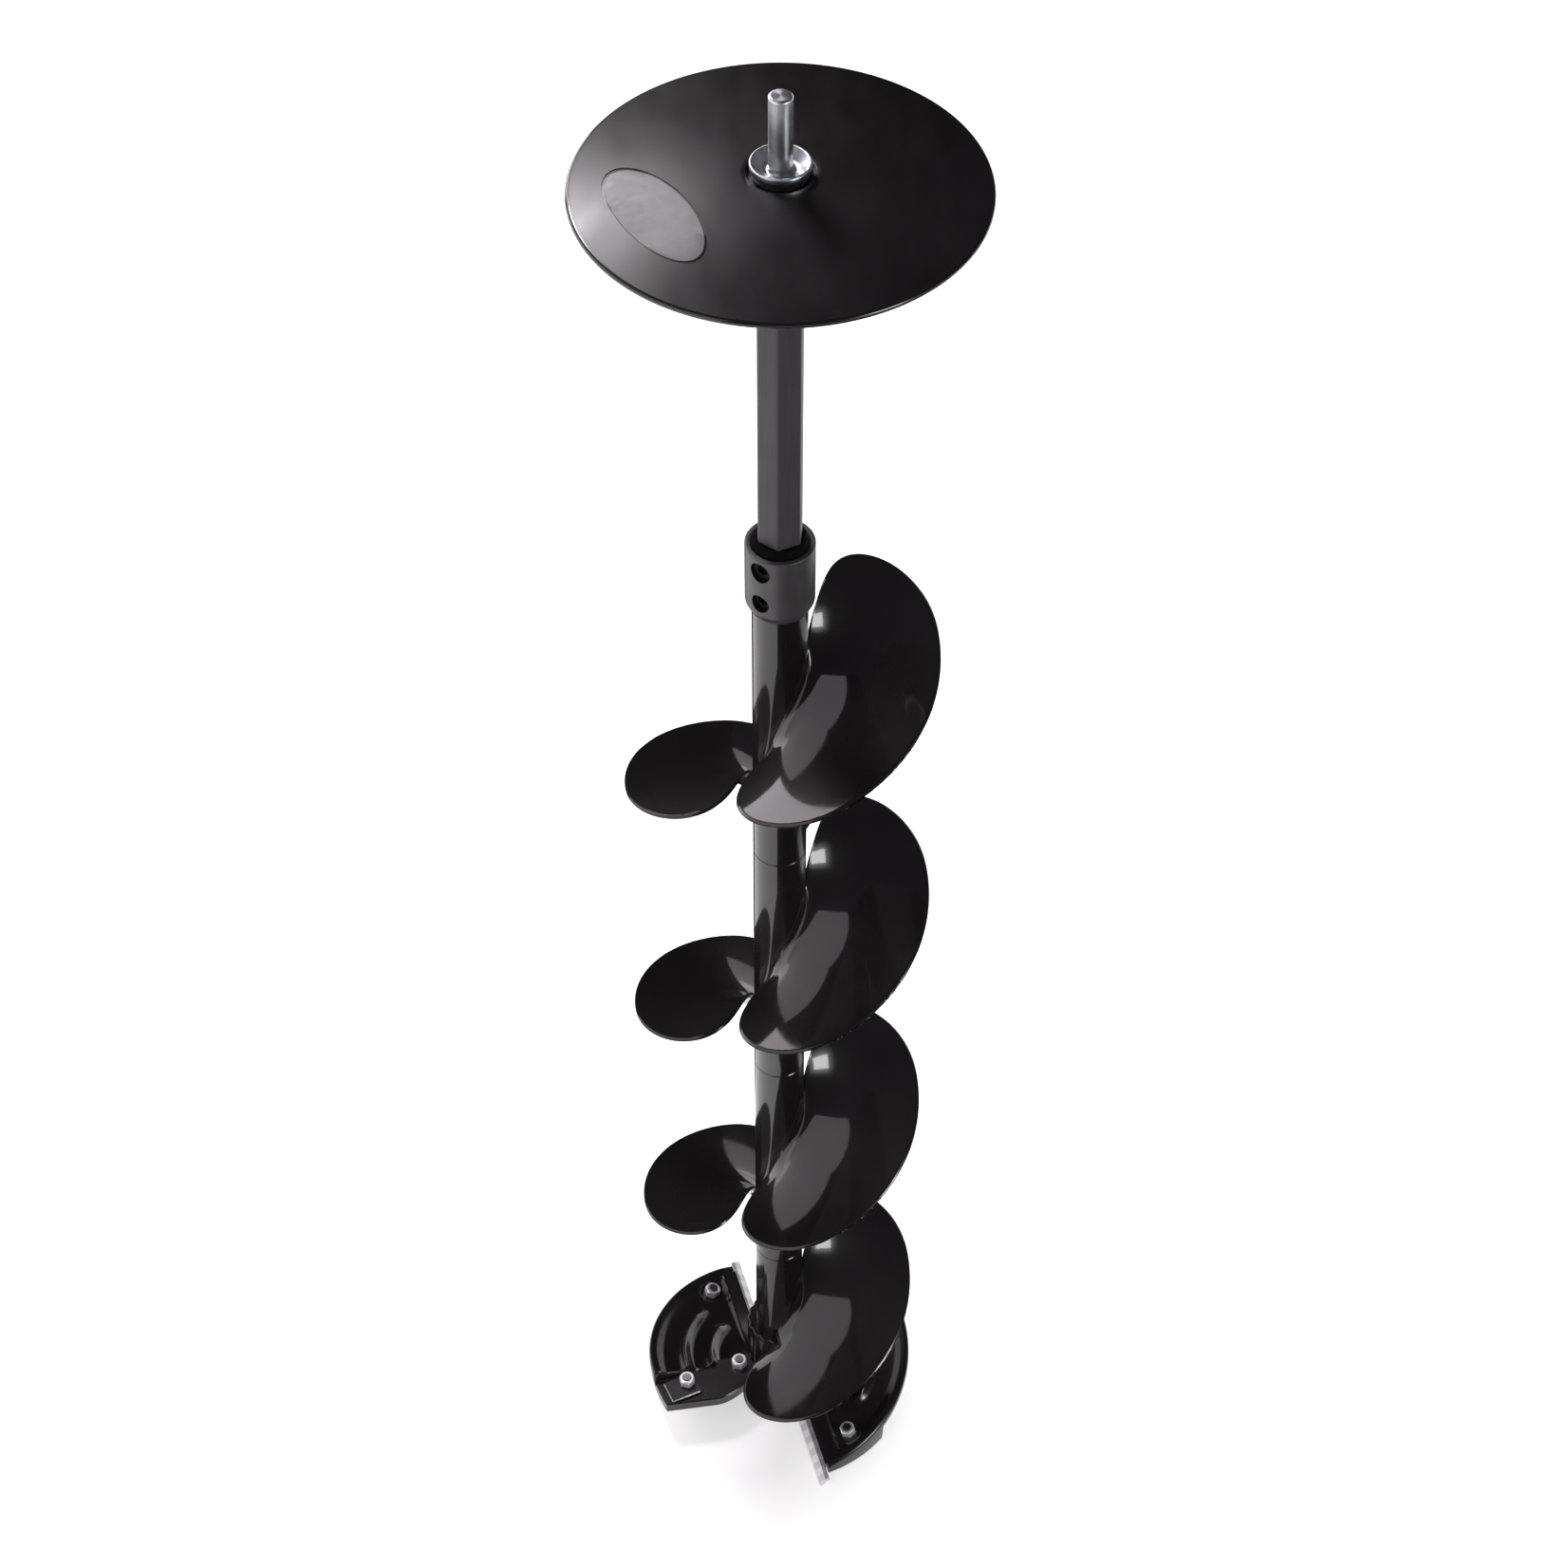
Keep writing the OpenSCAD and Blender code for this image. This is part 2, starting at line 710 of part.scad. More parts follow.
module shaft_plug() {
    color(color_steel) difference() {
        translate([0, 0, z_drive_top - top_plug_len]) cylinder(d = tube_bore, h = top_plug_len);
        translate([0, 0, z_drive_top - stem_len - stem_end_gap])
            cylinder(d = stem_d, h = stem_len + 2 * stem_end_gap);
        lock_pin_solid(hex_af * 2);
    }
}

// Pin across the shaft, half way down the stem
module lock_pin_solid(length) {
    translate([0, 0, z_drive_top - stem_len / 2])
        rotate([0, 0, flat_bearing])
        rotate([0, 90, 0])
        cylinder(d = lock_pin_d, h = length, center = true);
}

module lock_pin() {
    color(color_zinc) lock_pin_solid(hex_af);
}

// Turned steel adapter: shank, dished flange, journal and threaded stem
module drill_adapter() {
    r = flange_d / 2;
    z_lip = z_flange_floor + flange_lip;
    color(color_zinc) difference() {
        rotate_extrude()
            polygon([
                [0, z_drive_top - stem_len], [stem_d / 2, z_drive_top - stem_len],
                [stem_d / 2, z_drive_top], [stem_d / 2, z_washer_top], [journal_d / 2, z_washer_top],
                [journal_d / 2, z_flange], [r - flange_taper, z_flange], [r, z_flange + flange_lip],
                [r, z_lip - edge_break], [r - edge_break, z_lip], [r - edge_break - lip_w, z_lip],
                [shank_d / 2 + dish_w, z_flange_floor],
                [shank_d / 2, z_flange_floor],
                [shank_d / 2, z_shank_top - shank_bevel], [shank_d / 2 - shank_bevel, z_shank_top],
                [0, z_shank_top]
            ]);
        lock_pin_solid(hex_af * 2);
    }
}

module disc_washer() {
    color(color_zinc) translate([0, 0, z_drive_top]) difference() {
        cylinder(d = washer_d, h = washer_t);
        translate([0, 0, -eps]) cylinder(d = stem_d + 2 * hole_play, h = washer_t + 2 * eps);
    }
}

// Shallow cone with a beaded rim, a recess for the flange and a blank oval field
module stop_disc() {
    top = disc_hub_h + disc_recess_depth;
    bead_r = rim_bead_d / 2;
    rim_r = disc_d / 2 - bead_r;
    slope = disc_rise / (rim_r - disc_recess_d / 2);
    boss_r = disc_boss_d / 2;
    web = top - slope * (boss_r - disc_recess_d / 2) - disc_t;
    color(color_black) translate([0, 0, z_disc]) difference() {
        union() {
            rotate_extrude()
                polygon([
                    [journal_d / 2 + journal_play, 0], [boss_r, 0], [boss_r, web],
                    [rim_r, top - disc_rise - disc_t], [rim_r, top - disc_rise],
                    [disc_recess_d / 2, top], [disc_recess_d / 2, disc_hub_h],
                    [journal_d / 2 + journal_play, disc_hub_h]
                ]);
            rotate_extrude() translate([rim_r, top - disc_rise - bead_r]) circle(d = rim_bead_d);
        }
        intersection() {
            rotate([0, 0, oval_bearing])
                translate([oval_radius, 0, 0])
                rotate([0, 0, oval_turn])
                linear_extrude(height = 2 * top)
                polygon([for (t = [0:oval_step:359]) [oval_w / 2 * cos(t), oval_len / 2 * sin(t)]]);
            rotate_extrude()
                polygon([
                    [disc_recess_d / 2, top - oval_depth], [rim_r, top - disc_rise - oval_depth],
                    [rim_r, 2 * top], [disc_recess_d / 2, 2 * top]
                ]);
        }
    }
}

// Radial hole or screw towards the flat of the hexagon
module screw_axis(h) {
    translate([0, 0, z_coupler + h]) rotate([0, 0, flat_bearing + 180]) rotate([0, 90, 0]) children();
}

module coupler() {
    r = coupler_d / 2;
    color(color_coat) difference() {
        translate([0, 0, z_coupler]) rotate_extrude()
            polygon([
                [0, 0], [r - coupler_bevel, 0], [r, coupler_bevel_h],
                [r, coupler_len - edge_break], [r - edge_break, coupler_len], [0, coupler_len]
            ]);
        translate([0, 0, z_coupler - eps]) hex_prism(hex_bore_af, coupler_len + 2 * eps);
        translate([0, 0, z_coupler_top - seal_seat]) cylinder(d = seal_d + hole_play, h = seal_seat + eps);
        screw_axis(upper_screw_h) cylinder(d = upper_screw_d, h = coupler_d);
        screw_axis(lower_screw_h) cylinder(d = lower_screw_d, h = coupler_d);
    }
}

module dust_seal() {
    r = seal_d / 2;
    h = seal_seat + seal_h;
    color(color_rubber) translate([0, 0, z_coupler_top - seal_seat]) difference() {
        rotate_extrude()
            polygon([
                [0, 0], [r, 0], [r, seal_seat + seal_band],
                [r - seal_taper, h - edge_break], [r - seal_taper - lip_w, h], [0, h]
            ]);
        translate([0, 0, -eps]) hex_prism(hex_bore_af + 2 * hex_play, h + 2 * eps);
    }
}

module set_screw(h, d, tip) {
    screw_axis(h) translate([0, 0, tip]) difference() {
        cylinder(d = d, h = set_screw_len);
        translate([0, 0, set_screw_len / 2]) cylinder(d = set_key / cos(30), h = set_screw_len, $fn = 6);
    }
}

module upper_set_screw() {
    color(color_rubber) set_screw(upper_screw_h, upper_screw_d, hex_af / 2 + screw_play);
}

module lower_set_screw() {
    color(color_rubber) set_screw(lower_screw_h, lower_screw_d, hex_af / 2);
}

drill_adapter();
stop_disc();
disc_washer();
shaft_plug();
lock_pin();
drive_shaft();
coupler();
dust_seal();
upper_set_screw();
lower_set_screw();
core_shaft();
core_plug();
upper_flight();
middle_flight();
lower_flight();
cutting_head();
rear_blade();
front_blade();
blade_bolts();
blade_nuts();
blade_screws();
rear_heel_strap();
front_heel_strap();
square_plates();
tail_bolts();
tail_nuts();
head_bolt();
head_washer();
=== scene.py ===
import math

import bmesh
import bpy
import numpy as np
from mathutils import Matrix, Vector
from mathutils.kdtree import KDTree


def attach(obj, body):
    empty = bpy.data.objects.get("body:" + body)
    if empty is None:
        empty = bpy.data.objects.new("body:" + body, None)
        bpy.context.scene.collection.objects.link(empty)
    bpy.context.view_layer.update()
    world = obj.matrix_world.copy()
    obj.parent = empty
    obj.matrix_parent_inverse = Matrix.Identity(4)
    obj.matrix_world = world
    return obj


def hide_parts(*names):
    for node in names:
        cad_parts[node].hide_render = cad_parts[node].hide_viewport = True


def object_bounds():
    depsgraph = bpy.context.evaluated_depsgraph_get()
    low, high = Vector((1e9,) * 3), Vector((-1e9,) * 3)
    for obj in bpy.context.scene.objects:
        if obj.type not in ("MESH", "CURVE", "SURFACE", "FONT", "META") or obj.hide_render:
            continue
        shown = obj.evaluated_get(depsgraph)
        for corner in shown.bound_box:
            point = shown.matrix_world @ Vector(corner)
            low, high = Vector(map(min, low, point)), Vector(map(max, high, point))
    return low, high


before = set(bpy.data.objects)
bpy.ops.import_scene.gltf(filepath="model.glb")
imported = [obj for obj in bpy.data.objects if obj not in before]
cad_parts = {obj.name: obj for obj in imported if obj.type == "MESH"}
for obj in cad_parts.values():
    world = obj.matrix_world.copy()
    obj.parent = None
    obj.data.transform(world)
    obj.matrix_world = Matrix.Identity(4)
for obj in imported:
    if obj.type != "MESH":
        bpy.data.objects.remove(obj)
cad_low, cad_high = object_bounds()

# Lengths below are millimetres and angles degrees, as in the part's source. Meshes are scaled to metres.
MM = 0.001

# Angle from which the edges of machined pieces stay sharp
CRISP = 30

# Screw
HUB_R = 16.2
FLIGHT_R = 92.5
PITCH = 205.2
HUB_BEVEL = 0.5
HUB_BORE_R = 14.0
FIN_HEIGHT = 164.7
FIN_ROOT_T = 5.0
FIN_EDGE_T = 2.6
FIN_MID_R = (FLIGHT_R + HUB_R) / 2
FIN_HALF_W = (FLIGHT_R - HUB_R) / 2
FIN_GAP = 0.5
FIN_SINK = 0.4
FIN_FREE_BEARING = -84
FIN_TOP_BEARING = 12
FIN_TOP_BULGE = 43
FIN_FOOT_BEARING = -68
FIN_FOOT_BULGE = 57
FIN_BEVEL = 1.2
FIN_EDGE_SHARE = 0.1
ROOT_FILLET_R = 8.0
ROOT_FILLET_Z = 12.0
FLIGHT_FEET = {"lower_flight": 160.7, "middle_flight": 365.9, "upper_flight": 571.1}

# Cutting head
HEAD_TOP = 160.7
BOSS_R = 22.4
BOSS_TOP = 69.0
BOSS_BOTTOM = 10.0
FLUTES = 18
FLUTE_DEPTH = 1.2
WELL_R = 14.2
WELL_TOP = 26.0
SOCKET_FLOOR = 36.0
BOLT_HOLE_R = 6.2
WING_BEARING = 106
WING_R = 94.0
WING_LEAD = 10.0
RAMP_SWEEP = 93
RAMP_RIM_DROP = 3.0
RAMP_LEAD_Z = 9.0
RAMP_T = 6.0
PAD_TOP = 29.0
PAD_BOTTOM = 20.0
PAD_R = 93.5
PAD_START = RAMP_SWEEP - 7
PAD_END = 105
TAIL_CORNERS = ((57.9, 120.5), (47.0, 124.0), (20.0, 131.0))
RISER_ROOT = 1.0
RISER_RIM = 10.0
RISER_START_R = 36.0
RISER_RUN = 2.6
RIB_RADII = (49.0, 68.0)
RIB_H = 3.0
RIB_CREST = 0.7
RIB_SPREAD = 5.5
RIB_START = 34
RIB_RISE = 14
SKIRT_R = 90.5
SKIRT_BOTTOM = 2.0
SKIRT_FLARE = 3.0
SKIRT_SWEEP = 37
LAND_W = 9.0
HOLLOW = 2.5
NUT_AT = (77.7, 23.9)
NUT_POCKET_R = 8.0
EDGE_BACK = 2.0
TAIL_OUTER_R = 72.5
TAIL_ANGLE = 5.6
PLATE_SPAN = ((66.5, 88.5), (-5.7, 11.3))
PLATE_T = 2.5
PLATE_HOLE_R = 3.2
BLADE_TILT = 12
BLADE_T = 3.0
SEAT_OUTLINE = ((17, 8.2), (88, 8.2), (84, 40.8), (26, 40.8))
SEAT_T = 4

# Shaft, coupler and disc
HEX_AF = 24.0
HEX_BEARING = 24.8
DRIVE_BOTTOM = 802.0
DRIVE_TOP = 1064.0
COUPLER_BOTTOM = 776.3
COUPLER_TOP = 824.0
COUPLER_R = 20.0
COUPLER_BORE_R = 13.95
SEAL_SEAT_R = 17.1
SCREW_BEARING = 234.8
SCREW_HOLES = ((814.5, 6.5), (791.0, 5.75))
DISC_BOTTOM = 1066.3
DISC_R = 108.7
DISC_RISE = 9.9
DISC_TOP = 1076.0
DISC_T = 4.0
DISC_BEAD_R = 1.8
DISC_DOME = 1.5
DISC_BORE_R = 10.05
DISC_FLAT_R = 22
DISC_THINNING = 0.8
RECESS_R = 17.5
RECESS_DEPTH = 2.8
OVAL_HALF = (18.0, 43.5)
OVAL_RADIUS = 69.0
OVAL_BEARING = 204
OVAL_TURN = 6.5
OVAL_DEPTH = 0.4


# Mesh building

class Shape:
    """Vertices and faces of one piece, gathered in millimetres, with a material number for each face."""

    def __init__(self):
        self.verts = []
        self.faces = []
        self.numbers = []

    def add(self, verts, faces, number=0):
        base = len(self.verts)
        self.verts.extend(tuple(float(x) for x in v) for v in verts)
        self.faces.extend(tuple(base + i for i in f) for f in faces)
        self.numbers.extend([number] * len(faces))
        return self


def finish_piece(name, shape, materials, body, nodes=(), sharp=38):
    """Makes a shape into an object that rides on a body and stands for the given CAD nodes."""
    mesh = bpy.data.meshes.new(name)
    mesh.from_pydata([tuple(c * MM for c in v) for v in shape.verts], [], shape.faces)
    mesh.polygons.foreach_set("material_index", shape.numbers)
    bm = bmesh.new()
    bm.from_mesh(mesh)
    bmesh.ops.remove_doubles(bm, verts=bm.verts, dist=0.004 * MM)
    bmesh.ops.dissolve_degenerate(bm, edges=bm.edges, dist=0.002 * MM)
    bmesh.ops.recalc_face_normals(bm, faces=bm.faces)
    bm.to_mesh(mesh)
    bm.free()
    for material in materials:
        mesh.materials.append(material)
    mesh.shade_smooth()
    mesh.set_sharp_from_angle(angle=math.radians(sharp))
    obj = bpy.data.objects.new(name, mesh)
    bpy.context.scene.collection.objects.link(obj)
    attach(obj, body)
    if nodes:
        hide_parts(*nodes)
    return obj


def grid_faces(rows, columns, base=0, flip=False):
    """Quads of a grid of rows by columns points."""
    faces = []
    for i in range(rows - 1):
        for j in range(columns - 1):
            a = base + i * columns + j
            quad = (a, a + 1, a + columns + 1, a + columns)
            faces.append(quad[::-1] if flip else quad)
    return faces


def rounded(points, radii, steps=5):
    """A closed outline with each corner turned into an arc of about the given radius."""
    out = []
    count = len(points)
    for i, (point, radius) in enumerate(zip(points, radii)):
        p = np.array(point, float)
        before = np.array(points[i - 1], float)
        after = np.array(points[(i + 1) % count], float)
        if radius <= 0:
            out.append(tuple(p))
            continue
        reach = min(radius, 0.49 * np.linalg.norm(before - p), 0.49 * np.linalg.norm(after - p))
        a = p + (before - p) / np.linalg.norm(before - p) * reach
        b = p + (after - p) / np.linalg.norm(after - p) * reach
        for k in range(steps + 1):
            t = k / steps
            out.append(tuple((1 - t) ** 2 * a + 2 * t * (1 - t) * p + t * t * b))
    return out


def lathe(shape, profile, segments=128):
    """Turns a closed profile of radius and height about the axis."""
    count = len(profile)
    angles = [2 * math.pi * k / segments for k in range(segments)]
    verts = [(r * math.cos(a), r * math.sin(a), z) for a in angles for r, z in profile]
    faces = []
    for k in range(segments):
        n = (k + 1) % segments
        for i in range(count):
            j = (i + 1) % count
            faces.append((k * count + i, n * count + i, n * count + j, k * count + j))
    return shape.add(verts, faces)


def prism(shape, outline, z0, z1, bevel=0.0, number=0, edge_number=None):
    """Upright prism on a convex outline, with a small bevel round its top and bottom."""
    pts = np.array(outline, float)
    ahead = np.roll(pts, -1, axis=0) - pts
    behind = pts - np.roll(pts, 1, axis=0)
    ahead /= np.linalg.norm(ahead, axis=1)[:, None]
    behind /= np.linalg.norm(behind, axis=1)[:, None]
    normal = np.stack([-(ahead + behind)[:, 1], (ahead + behind)[:, 0]], axis=1)
    normal /= np.linalg.norm(normal, axis=1)[:, None]
    inset = pts + normal * bevel
    count = len(pts)
    loops = [(inset, z0), (pts, z0 + bevel), (pts, z1 - bevel), (inset, z1)]
    verts = [(x, y, z) for loop, z in loops for x, y in loop]
    walls = []
    edges = []
    for level in range(3):
        for i in range(count):
            j = (i + 1) % count
            quad = (level * count + i, level * count + j, (level + 1) * count + j, (level + 1) * count + i)
            (walls if level == 1 else edges).append(quad)
    caps = [tuple(range(count))[::-1], tuple(3 * count + i for i in range(count))]
    shape.add(verts, walls + caps, number)
    return shape.add(verts, edges, number if edge_number is None else edge_number)


def turned(verts, degrees, lift=0.0):
    """Points turned about the axis and lifted."""
    c, s = math.cos(math.radians(degrees)), math.sin(math.radians(degrees))
    v = np.asarray(verts, float)
    return np.stack([v[:, 0] * c - v[:, 1] * s, v[:, 0] * s + v[:, 1] * c, v[:, 2] + lift], axis=1)


def smooth_step(x):
    t = np.clip(x, 0, 1)
    return t * t * (3 - 2 * t)


# Moulded fins

def fin_top_end(r):
    """Bearing of a fin's upper end, which bulges as a half ellipse."""
    return FIN_TOP_BEARING + FIN_TOP_BULGE * np.sqrt(np.maximum(0, 1 - ((r - FIN_MID_R) / FIN_HALF_W) ** 2))


def fin_foot_end(r):
    """Bearing of a fin's lower end, a quarter ellipse that is longest at the hub."""
    return FIN_FOOT_BEARING - FIN_FOOT_BULGE * np.sqrt(np.maximum(0, 1 - ((r - HUB_R) / (FLIGHT_R - HUB_R)) ** 2))


def helix_point(r, bearing):
    a = np.radians(bearing)
    return np.stack([r * np.cos(a), r * np.sin(a), PITCH * bearing / 360], axis=-1)


def fin(shape, bearing, height, free_from=-math.inf, rows=46, columns=96):
    """A half-turn fin with a filleted root, a rounded lower and a bevelled upper edge.

    Its upper face is at height at its own bearing 0. Below the bearing free_from it stands clear of the hub.
    """
    u = np.linspace(0, math.pi, rows)
    r = (FIN_MID_R - FIN_HALF_W * np.cos(u))[:, None] * np.ones((1, columns))
    v = (1 - np.cos(np.linspace(0, math.pi, columns))) / 2
    b = fin_foot_end(r) + (fin_top_end(r) - fin_foot_end(r)) * v[None, :]
    surface = helix_point(r, b)
    across = FIN_MID_R - FIN_HALF_W * np.cos(np.linspace(0, math.pi, 900))
    rim = np.linspace(FIN_TOP_BEARING, FIN_FOOT_BEARING, 300)
    outline = helix_point(np.concatenate([across, np.full(len(rim), FLIGHT_R), across]),
                          np.concatenate([fin_top_end(across), rim, fin_foot_end(across)]))
    tree = KDTree(len(outline))
    for i, p in enumerate(outline):
        tree.insert(p, i)
    tree.balance()
    away = np.array([tree.find(p)[2] for p in surface.reshape(-1, 3)]).reshape(r.shape)
    thick = FIN_ROOT_T + (FIN_EDGE_T - FIN_ROOT_T) * (r - HUB_R) / (FLIGHT_R - HUB_R)
    full = np.sqrt(np.maximum(0, 1 - (1 - np.clip(away / (thick / 2), 0, 1)) ** 2))
    bevelled = FIN_EDGE_SHARE + (1 - FIN_EDGE_SHARE) * np.clip(away / FIN_BEVEL, 0, 1)
    # The fillet fades over 6 degrees beside the free part and within 30 mm of the outline
    rooted = smooth_step((b - free_from) / 6) * smooth_step(away / 30)
    d = np.clip((r - HUB_R) / ROOT_FILLET_R, 0, 1)
    fillet = ROOT_FILLET_Z * (1 - np.sqrt(np.maximum(0, 1 - (1 - d) ** 2))) * rooted
    radius = np.where(b < free_from, np.maximum(r, HUB_R + FIN_GAP), r)
    radius[0] = np.where(b[0] < free_from, HUB_R + FIN_GAP, HUB_R - FIN_SINK)
    middle = surface[..., 2] - thick / 2
    flat = np.stack([radius * np.cos(np.radians(b)), radius * np.sin(np.radians(b))], axis=-1)
    top = np.concatenate([flat, (middle + thick / 2 * bevelled + fillet)[..., None]], axis=-1)
    under = np.concatenate([flat, (middle - thick / 2 * full - fillet)[..., None]], axis=-1)
    verts = turned(np.concatenate([top.reshape(-1, 3), under.reshape(-1, 3)]), bearing, height)
    count = rows * columns
    faces = grid_faces(rows, columns, flip=True) + grid_faces(rows, columns, count)
    faces += [(j, j + 1, count + j + 1, count + j) for j in range(columns - 1)]
    return shape.add(verts, faces)


def hub_profile(z0, z1):
    return [(HUB_BORE_R, z0), (HUB_R - HUB_BEVEL, z0), (HUB_R, z0 + HUB_BEVEL),
            (HUB_R, z1 - HUB_BEVEL), (HUB_R - HUB_BEVEL, z1), (HUB_BORE_R, z1)]


def make_flight(node, material):
    foot = FLIGHT_FEET[node]
    shape = Shape()
    lathe(shape, hub_profile(foot, foot + PITCH))
    fin(shape, 0, foot + FIN_HEIGHT)
    fin(shape, 180, foot + FIN_HEIGHT - PITCH / 2, FIN_FREE_BEARING)
    return finish_piece(node + "_moulding", shape, [material], "auger", [node])


# Cutting head

def riser(r):
    share = np.clip((r - RISER_START_R) / (WING_R - RISER_START_R), 0, 1)
    return RISER_ROOT + (RISER_RIM - RISER_ROOT) * share


def ramp_plain(r, a):
    return RAMP_LEAD_Z + (PAD_TOP + riser(r) - RAMP_LEAD_Z) * a / RAMP_SWEEP


def ribs(r, a):
    """Height of the two curved ribs, whose sides are hollow, above the plain ramp."""
    total = np.zeros_like(r)
    for centre in RIB_RADII:
        off = np.sqrt((r - centre) ** 2 + RIB_CREST ** 2) - RIB_CREST
        total = np.maximum(total, np.clip(1 - off / RIB_SPREAD, 0, 1) ** 1.6)
    return (RIB_H + HOLLOW) * total * smooth_step((a - RIB_START) / RIB_RISE)


def hollow(r, a):
    """Depth of the trough between the land along the blade, the rim and the boss, with a pocket round the nut.

    The divisors are the widths over which each edge fades.
    """
    behind = r * np.sin(np.radians(a)) - WING_LEAD
    trough = HOLLOW * smooth_step((behind - LAND_W) / 3) * smooth_step((SKIRT_R - 1 - r) / 7)
    angle = np.radians(a - NUT_AT[1])
    off = np.sqrt(r ** 2 + NUT_AT[0] ** 2 - 2 * r * NUT_AT[0] * np.cos(angle))
    pocket = (HOLLOW + 1) * smooth_step((NUT_POCKET_R + 2 - off) / 2.5)
    slant = 0.9 * np.clip(1 - behind / LAND_W, 0, 1)
    return np.maximum(trough, pocket) + slant


def ramp(shape, turn, rows=72, columns=96):
    """Helical ramp of one wing, with ribs on top, a rounded rim and a skirt beside the blade."""
    share = np.linspace(0, 1, rows)
    near_rib = np.array([-1.8, -1.2, -0.8, -0.5, -0.25, 0, 0.25, 0.5, 0.8, 1.2, 1.8])
    radius = np.unique(np.concatenate([BOSS_R - 2 + (SKIRT_R - BOSS_R + 2) * share,
                                       *(centre + near_rib for centre in RIB_RADII),
                                       SKIRT_R + (WING_R - SKIRT_R) * np.sin(share[::6] * math.pi / 2)]))
    rows = len(radius)
    r = radius[:, None] * np.ones((1, columns))
    start = np.degrees(np.arcsin(np.minimum(1, WING_LEAD / r)))
    v = np.concatenate([np.linspace(0, 0.955, columns - 12), np.linspace(0.96, 1, 12)])
    a = start + (RAMP_SWEEP - start) * v[None, :]
    rim = np.clip((r - SKIRT_R) / (WING_R - SKIRT_R), 0, 1)
    shoulder = RAMP_RIM_DROP * (1 - np.sqrt(np.maximum(0, 1 - rim ** 2)))
    top_z = ramp_plain(r, a) + ribs(r, a) - hollow(r, a) - shoulder
    top_z -= np.maximum(top_z - PAD_TOP - 0.2, 0) * smooth_step((a - RAMP_SWEEP) / RISER_RUN + 1)
    low = ramp_plain(r, a) - RAMP_T
    low = np.where(a > PAD_START, np.minimum(low, PAD_TOP - 3), low)
    low = np.where((r >= SKIRT_R - 0.01) & (a < SKIRT_SWEEP), SKIRT_BOTTOM, low)
    x, y = r * np.cos(np.radians(a)), r * np.sin(np.radians(a))
    top = np.stack([x, y, top_z], axis=-1).reshape(-1, 3)
    flare = 1 + SKIRT_FLARE / WING_R * ((r > WING_R - 0.01) & (a < SKIRT_SWEEP))
    under = np.stack([x * flare, y * flare, low], axis=-1).reshape(-1, 3)
    count = rows * columns
    faces = grid_faces(rows, columns, flip=True) + grid_faces(rows, columns, count)
    last = (rows - 1) * columns
    faces += [(last + j, last + j + 1, count + last + j + 1, count + last + j) for j in range(columns - 1)]
    for j in (0, columns - 1):
        side = [i * columns + j for i in range(rows)]
        faces += [(p, q, count + q, count + p) for p, q in zip(side, side[1:])]
    return shape.add(turned(np.concatenate([top, under]), turn), faces, 1)


def tail_pad(shape, turn):
    """Flat pad behind the ramp, with the tail swept back to the boss."""
    arc = [(PAD_R, a) for a in np.linspace(PAD_START, PAD_END, 14)]
    polar = [(BOSS_R - 2, PAD_START), *arc, *TAIL_CORNERS]
    outline = [(r * math.cos(math.radians(a)), r * math.sin(math.radians(a))) for r, a in polar]
    radii = [0] * len(arc) + [12, 9, 6, 0]
    part = prism(Shape(), rounded(outline, radii), PAD_BOTTOM, PAD_TOP, 0.7)
    return shape.add(turned(part.verts, turn), part.faces, 1)


def blade_seat(shape, turn):
    """Flat seat under the ramp that a blade is clamped to."""
    part = prism(Shape(), SEAT_OUTLINE, BLADE_T, BLADE_T + SEAT_T, 0.3)
    tilt = math.radians(BLADE_TILT)
    v = np.array(part.verts)
    lifted = np.stack([v[:, 0], EDGE_BACK + v[:, 1] * math.cos(tilt) - v[:, 2] * math.sin(tilt),
                       v[:, 1] * math.sin(tilt) + v[:, 2] * math.cos(tilt)], axis=1)
    return shape.add(turned(lifted, turn), part.faces, 1)


def fluted_boss(shape, columns=288):
    """Boss round the foot of the hub, with shallow upright flutes."""
    angle = np.linspace(0, 2 * math.pi, columns, endpoint=False)
    outer = BOSS_R - FLUTE_DEPTH * (0.5 - 0.5 * np.cos(FLUTES * angle))
    levels = [(np.full(columns, HUB_R - 0.3), BOSS_TOP), (outer - 0.5, BOSS_TOP), (outer, BOSS_TOP - 0.5),
              (outer, BOSS_BOTTOM + 1), (outer - 0.7, BOSS_BOTTOM), (np.full(columns, WELL_R), BOSS_BOTTOM)]
    verts = [(r * math.cos(a), r * math.sin(a), z) for radius, z in levels for r, a in zip(radius, angle)]
    faces = []
    for level in range(len(levels) - 1):
        for k in range(columns):
            n = (k + 1) % columns
            faces.append((level * columns + k, level * columns + n, (level + 1) * columns + n,
                          (level + 1) * columns + k))
    return shape.add(verts, faces, 1)


def make_head(gloss, satin):
    shape = Shape()
    profile = rounded(
        [(WELL_R, BOSS_BOTTOM), (HUB_R, BOSS_BOTTOM), (HUB_R, HEAD_TOP - HUB_BEVEL),
         (HUB_R - HUB_BEVEL, HEAD_TOP), (HUB_BORE_R, HEAD_TOP), (HUB_BORE_R, SOCKET_FLOOR),
         (BOLT_HOLE_R, SOCKET_FLOOR), (BOLT_HOLE_R, WELL_TOP), (WELL_R, WELL_TOP)],
        [0, 0, 0, 0, 0, 0, 0.4, 0.4, 0])
    lathe(shape, profile)
    fluted_boss(shape)
    fin(shape, 0, HEAD_TOP - PITCH + FIN_HEIGHT)
    for turn in (WING_BEARING, WING_BEARING + 180):
        ramp(shape, turn)
        tail_pad(shape, turn)
        blade_seat(shape, turn)
    return finish_piece("head_moulding", shape, [gloss, satin], "auger", ["cutting_head"])


